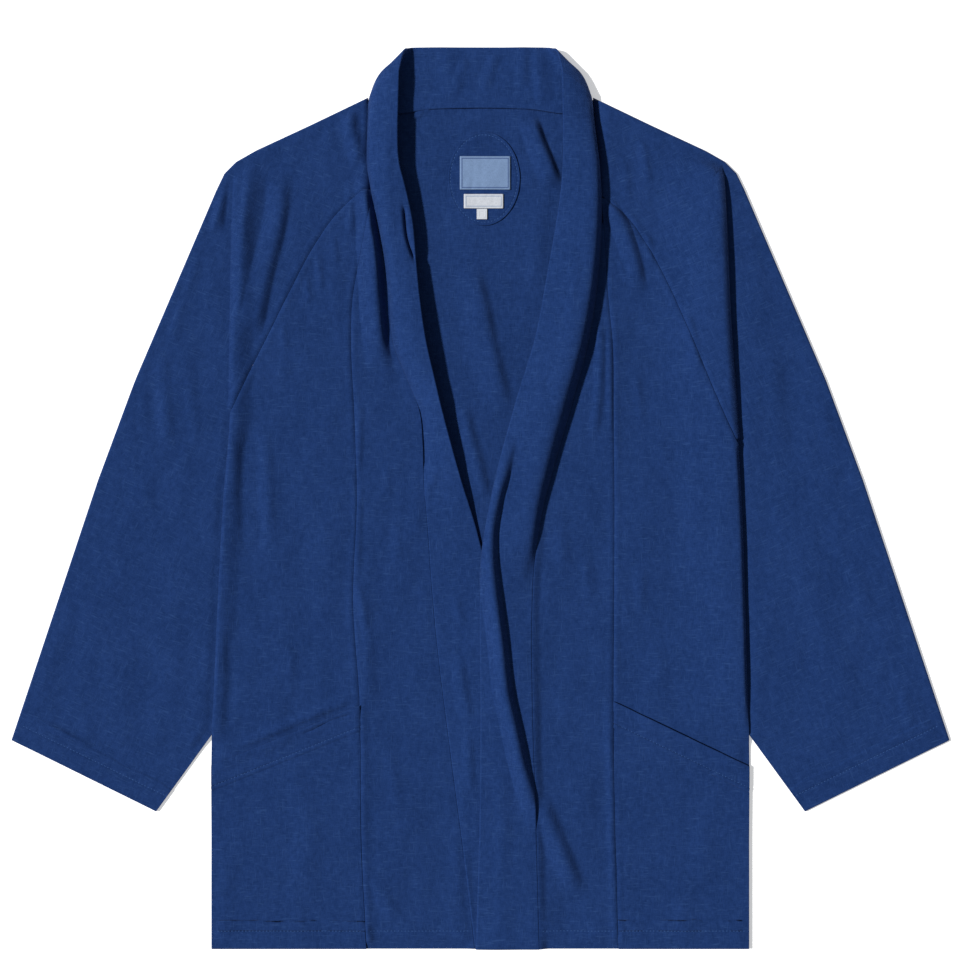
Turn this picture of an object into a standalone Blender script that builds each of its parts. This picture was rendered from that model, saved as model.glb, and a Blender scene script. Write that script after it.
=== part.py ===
"""Kimono jacket laid flat: raglan sleeves, two-panel fronts with slanted pockets, and one long shawl band.

The jacket lies on its back. +X is the wearer's left, +Y points to the collar, +Z up from the surface.
Sizes in this file are millimetres until the meshes are made. Right and left are the wearer's.
"""
import math

import bpy
import numpy as np

MM = 0.001

# Driving sizes
CLOTH = 1.2            # one layer of cloth
BAND = 2.4             # the collar band is doubled
REST_GAP = 0.3         # between layers that lie on each other
SEAM_GAP = 0.4         # between neighbours along a seam
HEM_Y = -428.0
BAND_TOP_Y = 428.0
UNDERARM_Y = -225.0
CUFF_INNER = (307.8, -297.8)
CUFF_OUTER = (445.1, -230.0)
NECK_CORNER = (106.8, 379.5)     # where shoulder fold and band meet
BACK_NECK = (80.5, 366.0)        # where the back raglan seam meets the band
NECK_TOP_Y = 371.4               # the back at the middle of the neck
NECK_BEND = 2.4                  # how late the neck seam turns down towards the shoulders
NECK_SIDE_GAP = 1.0
NECK_SEAM_X = 106.2              # the band seam at the neck corner
UNDERARM_CLEAR = (1.0, 0.6)      # last open and first closed ruling of a sleeve, from the underarm

# Heights of the middle of each layer above the surface
FLOOR_Z = CLOTH / 2
ON_BACK_Z = CLOTH + REST_GAP + CLOTH / 2
FRONT_Z = 3.4
TUCKED_Z = 2.6                   # sleeve cloth under the edge of the body
UNDER_BAND_Z = CLOTH + SEAM_GAP + BAND / 2
OVER_BAND_Z = UNDER_BAND_Z + BAND + SEAM_GAP
FOLD_RADIUS = (FRONT_Z - FLOOR_Z) / 2    # of a sleeve's outer fold

# How far an edge takes to settle down to its seam or hem
SEAM_DIP = 9.0
HEM_DIP = 14.0
HEM_REST = 0.02                  # share of a fold that is left at the hem itself
SIDE_DIP = 12.0
UNDERARM_EASE = 15.0             # below the underarm the side closes over this height
CUFF_FOLD_DIP = 14.0

RIGHT, LEFT = -1, 1
NAMES = {RIGHT: "right", LEFT: "left"}

# The body's side stands up in a fold over the sleeve, and its edge turns down again
EDGE_REACH = {RIGHT: 18.0, LEFT: 62.0}     # how far inside the edge the fold begins to rise
EDGE_CREST = {RIGHT: 4.0, LEFT: 6.0}       # how far inside the edge it is highest
EDGE_SAG = 0.3                             # share of the height that is lost between crest and edge
EDGE_FOOT = 2.5                            # the sleeve falls from the fold over this width
EDGE_LIP = {RIGHT: 3.0, LEFT: 4.0}         # width of the front's turned edge
EDGE_LIP_BEND = 0.98
EDGE_LIP_FADE = (14.0, 20.0)               # it grows below the crossing and ends above the underarm
EDGE_REST_Z = 4.5                          # level at which the turned edge ends
TUCK = 6.0                                 # the sleeve goes so far under the body edge
TUCK_RISE = (0.5, 9.0)                     # it rises again past the edge: from where, and over what width

# Body lines, as distances from the centre line
BODY_LINES = [
    # y, panel seam right, panel seam left, body edge right, body edge left
    (322, 100.0, 114.0, 231.0, 227.5),
    (290, 103.0, 114.5, 232.5, 229.8),
    (240, 112.0, 118.0, 234.0, 232.3),
    (185, 122.0, 121.5, 235.1, 234.5),
    (150, 123.0, 125.0, 235.8, 236.5),
    (81, 120.0, 126.0, 237.0, 241.5),
    (0, 117.5, 126.8, 243.5, 247.0),
    (-100, 121.0, 126.5, 249.0, 250.5),
    (-192, 115.0, 126.0, 253.0, 253.0),
    (UNDERARM_Y, 114.0, 126.2, 254.6, 254.4),
    (-330, 113.0, 128.0, 255.0, 254.6),
    (HEM_Y, 108.0, 130.6, 255.0, 254.6),
]
RAGLAN_LINES = [
    # y, right, left
    (294, 108.6, 109.0),
    (286, 119.0, 115.6),
    (270, 136.0, 135.0),
    (240, 157.5, 157.5),
    (200, 179.0, 179.0),
    (160, 199.0, 196.5),
    (120, 219.0, 213.0),
    (81, 237.0, 229.5),
    (50, 252.0, 243.8),
]
CROSSING_Y = {RIGHT: 81.0, LEFT: 52.0}      # where the front raglan seam goes under the body edge
CROSSING_CLEAR = 1.0
FRONT_TOP_Y = {RIGHT: 291.8, LEFT: 282.5}
CENTRE_TOP_Y = {RIGHT: 281.0, LEFT: 260.0}
RAGLAN_TOP_Y = {RIGHT: 293.0, LEFT: 286.0}
EDGE_LIFTS = [
    # y, how much the fold along the body edge rises, right and left
    (330, 0.0, 0.0),
    (312, 0.5, 6.0),
    (290, 2.5, 10.5),
    (260, 4.4, 12.5),
    (187, 4.6, 13.0),
    (92, 4.4, 11.0),
    (26, 4.0, 8.5),
    (-100, 3.4, 7.5),
    (-190, 3.0, 6.0),
    (-212, 2.4, 3.0),
    (-236, 0.0, 0.0),
]

# A sleeve is ruled from its front seam over the shoulder fold to its back seam
RULINGS = [
    # y on the front seam, y on the back seam, x and y on the outer fold
    (294, 366, 106.8, 379.5),
    (262, 326, 162.0, 353.0),
    (228, 290, 213.0, 329.3),
    (205, 266, 232.0, 318.5),
    (188, 248, 243.0, 307.5),
    (170, 230, 250.5, 292.0),
    (81, 120, 328.0, 111.0),
    (-30, -20, 363.0, 16.6),
    (UNDERARM_Y, UNDERARM_Y, 418.0, -148.7),
]
BACK_RAGLAN = [
    # y, distance from the centre line
    (366, 80.5),
    (300, 134.0),
    (220, 181.0),
    (120, 218.0),
    (0, 241.0),
    (-120, 251.0),
    (UNDERARM_Y, 254.3),
]

# Pocket openings run down from the panel seam to the side
POCKET_INNER_Y = {RIGHT: -197.0, LEFT: -193.3}
POCKET_OUTER_Y = {RIGHT: -254.0, LEFT: -255.0}

# The band down each front: its seam, its outer roll and its free edge
BAND_RIGHT = [
    # y, seam x, roll x, free x, seam z, roll z, free z
    (372, 105.6, 102.0, 76.5, 3.4, 12.5, 18.5),
    (345, 106.7, 103.0, 77.2, 3.4, 13.0, 19.0),
    (316, 107.2, 102.4, 75.8, 3.4, 13.0, 18.0),
    (292, 103.5, 98.0, 69.8, 3.4, 13.0, 16.0),
    (263, 97.8, 92.0, 63.6, 3.2, 13.0, 14.0),
    (225, 91.0, 85.0, 60.0, 3.0, 13.0, 14.8),
    (187, 86.4, 80.5, 56.2, 3.0, 13.0, 17.0),
    (145, 82.0, 75.5, 49.8, 3.2, 12.0, 18.0),
    (112, 69.0, 63.0, 42.2, 3.2, 10.5, 17.0),
    (84, 58.0, 52.0, 35.6, 3.2, 9.0, 16.0),
    (50, 54.4, 45.5, 26.6, 3.1, 7.4, 13.0),
    (17, 53.7, 42.0, 17.4, 3.0, 5.5, 9.5),
    (-31, 49.9, 34.0, 2.6, UNDER_BAND_Z, 3.0, 3.4),
    (-85, 46.1, 28.0, -9.0, UNDER_BAND_Z, UNDER_BAND_Z, UNDER_BAND_Z),
    (-146, 40.4, 22.0, -14.7, UNDER_BAND_Z, UNDER_BAND_Z, UNDER_BAND_Z),
    (-216, 31.8, 13.0, -23.3, UNDER_BAND_Z, UNDER_BAND_Z, UNDER_BAND_Z),
    (-282, 23.3, 5.0, -31.8, UNDER_BAND_Z, UNDER_BAND_Z, UNDER_BAND_Z),
    (-354, 13.8, -4.0, -41.3, UNDER_BAND_Z, UNDER_BAND_Z, UNDER_BAND_Z),
    (HEM_Y, 5.2, -13.0, -49.9, UNDER_BAND_Z, UNDER_BAND_Z, UNDER_BAND_Z),
]
BAND_LEFT = [
    # y, seam x, roll x, free x, seam z, roll z, free z
    (372, 105.8, 102.0, 76.5, 3.4, 12.5, 18.0),
    (345, 108.6, 105.4, 77.0, 3.4, 15.0, 16.5),
    (316, 112.2, 108.6, 76.7, 3.4, 16.5, 15.0),
    (292, 114.0, 109.2, 75.0, 3.4, 17.5, 15.0),
    (263, 114.4, 108.5, 71.0, 3.2, 18.5, 15.0),
    (207, 111.0, 103.5, 61.3, 3.2, 19.5, 16.0),
    (150, 102.5, 93.5, 50.3, 3.2, 20.0, 16.0),
    (93, 88.0, 77.0, 33.0, 3.2, 19.0, 14.0),
    (31, 70.0, 60.0, 16.2, 3.4, 17.0, 11.5),
    (-2, 61.0, 52.0, 8.7, 3.8, 16.0, 9.5),
    (-40, 54.0, 45.5, 2.0, 4.6, 13.5, 7.6),
    (-60, 51.0, 41.0, -0.5, 5.2, 10.0, 7.0),
    (-97, 49.0, 32.0, -1.4, OVER_BAND_Z, 7.0, 6.4),
    (-192, 49.0, 31.0, -0.9, OVER_BAND_Z, 6.2, OVER_BAND_Z),
    (-287, 51.8, 33.0, -1.4, OVER_BAND_Z, OVER_BAND_Z, OVER_BAND_Z),
    (HEM_Y, 55.6, 37.0, -5.2, OVER_BAND_Z, OVER_BAND_Z, OVER_BAND_Z),
]
# Behind the neck the band lies flat, then rolls over at each side of the neck
BAND_NECK = [
    # seam, roll and free edge, each as x, y, z
    ((0, 372.0, BAND / 2), (0, 392, BAND / 2), (0, BAND_TOP_Y, BAND / 2)),
    ((46, 370.8, BAND / 2), (46, 392, BAND / 2), (46, BAND_TOP_Y, BAND / 2)),
    ((80.2, 366.7, BAND / 2), (70, 391, BAND / 2), (62, 427.8, 1.6)),
    ((95, 374.2, BAND / 2), (84, 395, 2.2), (66.5, 426.6, 5.0)),
    ((103.6, 380.6, 2.6), (94.5, 400, 8.0), (71.5, 422.0, 12.5)),
    ((105.8, 372.0, 3.4), (101.8, 382, 12.5), (76.2, 402, 18.5)),
]
BAND_CROWN = 1.6       # the band bulges by so much between roll and free edge
BAND_CROWN_RISE = 8.0  # and fully so where its roll stands this much above the flat band
BAND_LEAD = 0.6        # how straight the band leaves its seam

# Main creases of the top layers. A crest leans on a short steep side or a long soft one
CREASES = {
    RIGHT: [
        # crest points from top to bottom, reach west, reach east, height, share of its foot that is sharp
        ([(-107, 318), (-104, 288), (-102, 259), (-101, 226), (-99, 188), (-96, 154), (-90, 112)],
         16.1, 8.5, 9.5, 0.8),
        ([(-125, 381), (-123, 354), (-118, 332), (-112, 314)], 9.5, 7.0, 5.0, 0.7),
        ([(-188, 317), (-189, 283), (-193, 254), (-200, 226), (-207, 197), (-212, 171), (-217, 150)],
         15, 8.5, 5.0, 0.8),
        ([(-217, 319), (-221, 283), (-224, 245), (-226, 197), (-228, 159)], 8.5, 19, 3.6, 0.2),
        ([(-247, 311), (-249, 283), (-252, 249)], 7.6, 8.5, 4.2, 0.8),
        ([(-223, 74), (-222, 17), (-219, -21), (-216, -65)], 13, 13, -1.5, 0.0),
        ([(-302, 145), (-300, 93), (-297, 43)], 10.4, 9.5, 1.7, 0.2),
        ([(-103, -354), (-92, -380), (-78, -401)], 9.5, 10.4, 1.7, 0.3),
    ],
    LEFT: [
        ([(30, 66), (25, 45), (20, 21), (14, -2), (9, -31), (9, -61), (13, -97), (18, -135), (23, -181),
          (32, -223), (40, -259), (50, -293), (57, -320)], 11.4, 7.1, 10.0, 0.9),
        ([(61, -295), (72, -325), (82, -352), (96, -379)], 14.2, 13.3, 2.2, 0.1),
        ([(116, 283), (127, 270), (136, 254), (143, 233), (148, 214), (152, 191)], 11.4, 7.6, 4.6, 0.85),
        ([(195, 178), (199, 150), (207, 119)], 7.6, 7.6, 1.9, 0.3),
        ([(112, 172), (113, 140), (111, 93), (105, 47)], 5.7, 6.6, 2.1, 0.3),
    ],
}
BACK_CREASES = [
    ([(-10, 228), (0, 188), (8, 150), (17, 112), (26, 74)], 24.7, 11.4, 2.8, 0.3),
    ([(48, 362), (55, 340), (64, 318), (73, 294)], 14.2, 8.5, 2.6, 0.8),
    ([(-19, 93), (-9, 55), (-1, 26), (6, -4)], 9.5, 6.6, 2.6, 0.6),
]
CREASE_FADE = 0.22     # share of a crease over which it grows and fades at each end
CREASE_STEPS = 6       # straight stretches between two crest points
SLOPE_REACH = 0.5      # a slope is taken over this distance to each side

PATCH_CENTRE = (3.3, 302.6)
PATCH_HALF = (34.2, 44.6)
LABELS = [
    # node, centre x, centre y, width, height, material
    ("label_main", 4.3, 307.8, 47.5, 31.4, "label_blue"),
    ("label_small", 2.9, 281.0, 37.0, 13.3, "label_white"),
    ("size_tab", 1.4, 268.8, 9.5, 9.6, "label_white"),
]
TRIM = 1.0             # patch and labels

MATERIALS = {
    # base colour, roughness
    "indigo_cloth": ((0.016, 0.044, 0.147, 1.0), 0.9),
    "indigo_band": ((0.017, 0.048, 0.155, 1.0), 0.9),
    "label_blue": ((0.26, 0.42, 0.62, 1.0), 0.7),
    "label_white": ((0.62, 0.68, 0.72, 1.0), 0.7),
}

# Mesh steps
ROW_STEP = 26.0
BACK_ROW_STEP = 39.0
ROW_CLEAR = 5.0                      # no even row this near to a row that the form needs
CHEST_Y = 225.0                      # above it the rows are twice as close
BAND_SHOULDER_LEVELS = (358.0, 345.0, 330.0, 316.0, 302.0)
SLEEVE_MARKS = (3.2, 2.4, -6.0)      # rows by the crossing: on the seam, just under it, tucked
HIDDEN_ROWS = 10
TUCK_FADE = 40.0
RULING_SAMPLES = 600
LEAST_STEP = 0.9                     # between two columns of a sleeve at the body edge
FOLD_CLEAR = 5.0                     # between the foot of the edge fold and the outer fold
CLOSED_EDGE_SHARE = 0.2              # below the underarm these columns stand at this share of the ruling
SLEEVE_SHARES = (0.2, 0.4, 0.62, 0.82, 1.0)
FOLD_ANGLES = (60, 120)
FLOOR_SHARES = (0.0, 0.3, 0.65, 1.0)
ARM_SHARES = (0.0, 0.35, 0.72, 1.0)
EDGE_ROUND = (4.0, 1.5)              # the last two columns before the outer panel's edge
EDGE_ROUND_WIDTH = 8.0               # closer together where the panel is narrower than this
POCKET_ROWS = 6
POCKET_GAP = 0.6
SIDE_COLUMNS = 10
CENTRE_COLUMNS = 8
BACK_COLUMNS = 10
BAND_COLUMNS = (0.0, 0.12, 0.24, 0.36, 0.52, 0.68, 0.84, 1.0)
NECK_STEPS = 2                       # between two rows of the turn round the neck
SHARP_ANGLE = math.radians(50)
PATCH_RINGS = (1.0, 0.7, 0.35)
PATCH_SIDES = 24
LABEL_GRID = (7, 5)


# Curves and easing

def smooth(t):
    t = np.clip(t, 0.0, 1.0)
    return t * t * (3.0 - 2.0 * t)


def line(rows, column):
    """A smooth function of y through one column of a table whose rows start with y."""
    ordered = sorted((row[0], row[column]) for row in rows)
    ys = np.array([r[0] for r in ordered], float)
    values = np.array([r[1] for r in ordered], float)
    slopes = np.gradient(values, ys)

    def value(y):
        y = np.clip(np.asarray(y, float), ys[0], ys[-1])
        i = np.clip(np.searchsorted(ys, y) - 1, 0, len(ys) - 2)
        step = ys[i + 1] - ys[i]
        t = (y - ys[i]) / step
        rise = values[i + 1] - values[i]
        a = slopes[i] * step - rise
        b = rise - slopes[i + 1] * step
        return values[i] + rise * t + t * (1 - t) * (a * (1 - t) + b * t)

    return value


def spline(points, steps):
    """Points along a smooth curve through the given ones, with so many steps in each span."""
    p = np.array(points, float)
    p = np.vstack([2 * p[0] - p[1], p, 2 * p[-1] - p[-2]])
    out = []
    for i, count in zip(range(1, len(p) - 2), steps):
        for t in np.arange(count) / count:
            out.append(0.5 * (2 * p[i] + (p[i + 1] - p[i - 1]) * t
                              + (2 * p[i - 1] - 5 * p[i] + 4 * p[i + 1] - p[i + 2]) * t ** 2
                              + (3 * p[i] - p[i - 1] - 3 * p[i + 1] + p[i + 2]) * t ** 3))
    out.append(p[-2])
    return np.array(out)


panel_seam = {RIGHT: line(BODY_LINES, 1), LEFT: line(BODY_LINES, 2)}
body_edge = {RIGHT: line(BODY_LINES, 3), LEFT: line(BODY_LINES, 4)}
raglan = {RIGHT: line(RAGLAN_LINES, 1), LEFT: line(RAGLAN_LINES, 2)}
back_raglan = line(BACK_RAGLAN, 1)
edge_lift = {RIGHT: line(EDGE_LIFTS, 1), LEFT: line(EDGE_LIFTS, 2)}
BAND_ROWS = {RIGHT: BAND_RIGHT, LEFT: BAND_LEFT}
band_seam = {side: line(BAND_ROWS[side] + [(NECK_CORNER[1], NECK_SEAM_X)], 1) for side in BAND_ROWS}
band_seam_z = {side: line(BAND_ROWS[side], 4) for side in BAND_ROWS}


# Heights of the cloth

def crease_height(creases, x, y):
    """The sum of the creases at each point: a crest with its own reach to the west and to the east."""
    total = np.zeros(np.shape(x))
    for points, west, east, height, sharp in creases:
        path = spline(points, [CREASE_STEPS] * (len(points) - 1))
        count = len(path) - 1
        best = np.full(np.shape(x), 1e9)
        offset = np.zeros(np.shape(x))
        along = np.zeros(np.shape(x))
        for i in range(count):
            (ax, ay), (bx, by) = path[i], path[i + 1]
            length = math.hypot(bx - ax, by - ay)
            ux, uy = (bx - ax) / length, (by - ay) / length
            t = np.clip((x - ax) * ux + (y - ay) * uy, 0, length)
            dx, dy = x - ax - ux * t, y - ay - uy * t
            away = np.hypot(dx, dy)
            nearer = away < best
            best = np.where(nearer, away, best)
            offset = np.where(nearer, np.sign(ux * dy - uy * dx) * away, offset)
            along = np.where(nearer, (i + t / length) / count, along)
        share = np.clip(np.where(offset > 0, offset / east, -offset / west), 0, 1)
        soft = np.cos(share * math.pi / 2)
        profile = (1 - sharp) * soft ** 2 + sharp * soft
        fade = smooth(along / CREASE_FADE) * smooth((1 - along) / CREASE_FADE)
        total = total + height * profile * fade
    return total


def edge_fold(side, x, y):
    """How much the fold along the body's side lifts the cloth at a point."""
    past = np.abs(x) - body_edge[side](y)
    crest, reach = EDGE_CREST[side], EDGE_REACH[side]
    inside = np.cos(np.clip((-crest - past) / reach, 0, 1) * math.pi / 2) ** 2
    over = 1 - EDGE_SAG * np.clip((past + crest) / crest, 0, 1) ** 2
    beyond = (1 - EDGE_SAG) * (1 - smooth(past / EDGE_FOOT))
    return edge_lift[side](y) * np.where(past < -crest, inside, np.where(past < 0, over, beyond))


def top_height(side, x, y):
    """Height of the middle of the top layer, sleeve or front, on one side."""
    out = np.abs(x)
    z = FRONT_Z + crease_height(CREASES[side], x, y) + edge_fold(side, x, y)
    z = ON_BACK_Z + (z - ON_BACK_Z) * smooth((y - HEM_Y) / HEM_DIP + HEM_REST)
    below = smooth((UNDERARM_Y - y) / UNDERARM_EASE)
    settled = ON_BACK_Z + (z - ON_BACK_Z) * smooth((body_edge[side](y) - out) / SIDE_DIP)
    z = z + (settled - z) * below
    seam_z = band_seam_z[side](y)
    # crossing the centre line, the band's distance from it is signed
    return seam_z + (z - seam_z) * smooth((side * x - band_seam[side](y)) / SEAM_DIP)


def front_height(side, x, y):
    """The front's own height: its side edge turns down over the sleeve below the raglan seam."""
    z = top_height(side, x, y)
    lip = EDGE_LIP[side]
    past = np.clip((side * x - body_edge[side](y) + lip) / lip, 0, 1)
    turned = EDGE_REST_Z + (z - EDGE_REST_Z) * np.sqrt(1 - EDGE_LIP_BEND * past ** 2)
    below = smooth((CROSSING_Y[side] - y) / EDGE_LIP_FADE[0]) * smooth((y - UNDERARM_Y) / EDGE_LIP_FADE[1])
    return z + (np.minimum(turned, z) - z) * below


def sleeve_height(side, x, y, tucked):
    """The sleeve's top layer. Where it is tucked under the body edge it lies low."""
    z = top_height(side, x, y)
    past = side * x - body_edge[side](y)
    low = TUCKED_Z + (z - TUCKED_Z) * smooth((past - TUCK_RISE[0]) / TUCK_RISE[1])
    return np.where(tucked, low, z)


def back_height(x, y):
    hem = smooth((y - HEM_Y) / HEM_DIP)
    return FLOOR_Z + crease_height(BACK_CREASES, x, y) * hem


def normals_of(height, x, y):
    """Unit normals of a surface given by its height."""
    eps = SLOPE_REACH
    gx = (height(x + eps, y) - height(x - eps, y)) / (2 * eps)
    gy = (height(x, y + eps) - height(x, y - eps)) / (2 * eps)
    n = np.stack([-gx, -gy, np.ones_like(gx)], -1)
    return n / np.linalg.norm(n, axis=-1, keepdims=True)


# Meshes

def clear_scene():
    for obj in list(bpy.data.objects):
        bpy.data.objects.remove(obj, do_unlink=True)


def make_material(name):
    colour, roughness = MATERIALS[name]
    material = bpy.data.materials.get(name) or bpy.data.materials.new(name)
    material.use_nodes = True
    shader = material.node_tree.nodes["Principled BSDF"]
    shader.inputs["Base Color"].default_value = colour
    shader.inputs["Roughness"].default_value = roughness
    material.diffuse_color = colour
    return material


def make_object(name, points, faces, material):
    mesh = bpy.data.meshes.new(name)
    mesh.from_pydata([tuple(p * MM) for p in points], [], faces)
    mesh.validate()
    mesh.update()
    mesh.materials.append(make_material(material))
    mesh.shade_smooth()
    mesh.set_sharp_from_angle(angle=SHARP_ANGLE)
    obj = bpy.data.objects.new(name, mesh)
    bpy.context.scene.collection.objects.link(obj)
    return obj


def wall_faces(rows, columns):
    """Faces of a closed wall whose outer grid is followed by its inner grid."""
    half = rows * columns

    def at(i, j, side):
        return side * half + i * columns + j

    faces = []
    for i in range(rows - 1):
        for j in range(columns - 1):
            faces.append((at(i, j, 0), at(i + 1, j, 0), at(i + 1, j + 1, 0), at(i, j + 1, 0)))
            faces.append((at(i, j, 1), at(i, j + 1, 1), at(i + 1, j + 1, 1), at(i + 1, j, 1)))
    for i in range(rows - 1):
        for j, flip in ((0, False), (columns - 1, True)):
            quad = (at(i, j, 0), at(i, j, 1), at(i + 1, j, 1), at(i + 1, j, 0))
            faces.append(quad[::-1] if flip else quad)
    for j in range(columns - 1):
        for i, flip in ((0, True), (rows - 1, False)):
            quad = (at(i, j, 0), at(i, j, 1), at(i, j + 1, 1), at(i, j + 1, 0))
            faces.append(quad[::-1] if flip else quad)
    return faces


def wall(name, middle, normals, thickness, material, turned=False):
    """A closed wall about a grid of middle points. It is turned where the grid runs the other way round."""
    if turned:
        middle, normals = middle[:, ::-1], normals[:, ::-1]
    rows, columns = middle.shape[:2]
    outer = (middle + normals * thickness / 2).reshape(-1, 3)
    inner = (middle - normals * thickness / 2).reshape(-1, 3)
    return make_object(name, np.vstack([outer, inner]), wall_faces(rows, columns), material)


def sheet(name, x, y, height, thickness, material, turned=False, lift=0.0):
    """A wall over a plan grid, its middle at a given height."""
    z = height(x, y)
    normals = normals_of(height, x, y)
    middle = np.stack([x, y, z], -1) + normals * lift
    return wall(name, middle, normals, thickness, material, turned)


def levels(top, bottom, step, extra=()):
    """Row heights from top to bottom, evenly spaced, with some rows where the form needs them."""
    count = max(1, math.ceil((top - bottom) / step))
    rows = [v for v in np.linspace(top, bottom, count + 1) if all(abs(v - e) > ROW_CLEAR for e in extra)]
    rows += list(extra)
    return np.array(sorted(rows, reverse=True))


def front_levels(side):
    """Rows that the front panels, the band and the sleeve of one side share along their seams."""
    crossing = CROSSING_Y[side]
    extra = (crossing + SLEEVE_MARKS[0], crossing - CROSSING_CLEAR, crossing - EDGE_LIP_FADE[0], UNDERARM_Y,
             UNDERARM_Y - UNDERARM_EASE, HEM_Y + HEM_DIP)
    upper = levels(FRONT_TOP_Y[side], CHEST_Y, ROW_STEP / 2)
    lower = levels(CHEST_Y, HEM_Y, ROW_STEP, extra)
    return np.concatenate([upper, lower[1:]])


def between(inner, outer, shares):
    return inner[:, None] + (outer - inner)[:, None] * np.asarray(shares)[None, :]


# Pieces

def make_back():
    """One back panel between the raglan seams and sides, its top cut to the neck seam."""
    rows = levels(356.0, HEM_Y, BACK_ROW_STEP, (UNDERARM_Y, HEM_Y + HEM_DIP))
    shares = np.linspace(-1, 1, BACK_COLUMNS + 1)
    side_x = np.where(rows > UNDERARM_Y, back_raglan(rows), body_edge[LEFT](rows)) - SEAM_GAP / 2
    x = side_x[:, None] * shares[None, :]
    y = np.repeat(rows[:, None], len(shares), 1)
    neck_x = (BACK_NECK[0] - NECK_SIDE_GAP) * shares
    neck_y = NECK_TOP_Y - (NECK_TOP_Y - BACK_NECK[1] + NECK_SIDE_GAP) * np.abs(shares) ** NECK_BEND
    x = np.vstack([neck_x, x])
    y = np.vstack([neck_y, y])
    sheet("back", x, y, back_height, CLOTH, "indigo_cloth")


def front_side_columns(side, y, inset=0.0):
    """Distances from the centre line of the outer front panel's columns, for an array of y."""
    inner = np.maximum(panel_seam[side](y), band_seam[side](y) + SEAM_GAP / 2) + SEAM_GAP / 2 + inset
    seam = raglan[side](y) - SEAM_GAP
    edge = body_edge[side](y)
    outer = np.where(y > CROSSING_Y[side], np.minimum(seam, edge), edge) - inset
    wide, narrow = (np.minimum(step, (outer - inner) * step / EDGE_ROUND_WIDTH) for step in EDGE_ROUND)
    body = [inner + (outer - wide - inner) * t for t in np.linspace(0, 1, SIDE_COLUMNS - 1)]
    return body + [outer - narrow, outer]


def make_front_side(side):
    rows = front_levels(side)
    x = side * np.stack(front_side_columns(side, rows), 1)
    y = np.repeat(rows[:, None], x.shape[1], 1)
    sheet(f"front_side_{NAMES[side]}", x, y, lambda a, b: front_height(side, a, b), CLOTH,
          "indigo_cloth", turned=side == RIGHT)


def make_front_centre(side):
    rows = front_levels(side)
    rows = rows[rows <= CENTRE_TOP_Y[side]]
    inner = band_seam[side](rows) + SEAM_GAP
    outer = panel_seam[side](rows) - SEAM_GAP / 2
    x = side * between(inner, outer, np.linspace(0, 1, CENTRE_COLUMNS + 1))
    y = np.repeat(rows[:, None], x.shape[1], 1)
    sheet(f"front_centre_{NAMES[side]}", x, y, lambda a, b: front_height(side, a, b), CLOTH,
          "indigo_cloth", turned=side == RIGHT)


def make_pocket(side):
    """The pocket front, made from the panel's own points and moved out by a layer."""
    at_top = np.stack(front_side_columns(side, np.array([POCKET_INNER_Y[side]])), 1)[0]
    share = (at_top - at_top[0]) / (at_top[-1] - at_top[0])
    top = POCKET_INNER_Y[side] + (POCKET_OUTER_Y[side] - POCKET_INNER_Y[side]) * share
    down = np.linspace(0, 1, POCKET_ROWS)
    y = top[None, :] + (HEM_Y + HEM_DIP - top)[None, :] * down[:, None]
    y = np.vstack([y, np.full_like(top, HEM_Y)])
    x = np.stack([front_side_columns(side, y[:, j], inset=SEAM_GAP)[j] for j in range(len(top))], 1)
    sheet(f"pocket_{NAMES[side]}", side * x, y, lambda a, b: front_height(side, a, b), CLOTH,
          "indigo_cloth", turned=side == RIGHT, lift=CLOTH + POCKET_GAP)


def sleeve_places(side, inner, along, length, closed):
    """Distances along a ruling of the columns on a sleeve's top layer, close together at the body edge."""
    end = length - FOLD_RADIUS - CLOTH / 2
    steps = np.linspace(0, length, RULING_SAMPLES)
    past = inner[0] + along[0] * steps - body_edge[side](inner[1] + along[1] * steps)
    edge = steps[np.argmax(past > 0)] if (past > 0).any() else end
    if closed:
        edge = end * CLOSED_EDGE_SHARE
    edge = min(edge, end - EDGE_FOOT - FOLD_CLEAR)
    crest = max(edge - EDGE_CREST[side], LEAST_STEP)
    edge = max(edge, crest + LEAST_STEP)
    foot = edge + EDGE_FOOT
    rest = foot + (end - foot) * np.array(SLEEVE_SHARES)
    return np.array([0, crest / 2, crest, edge, (edge + foot) / 2, foot, *rest])


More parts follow.
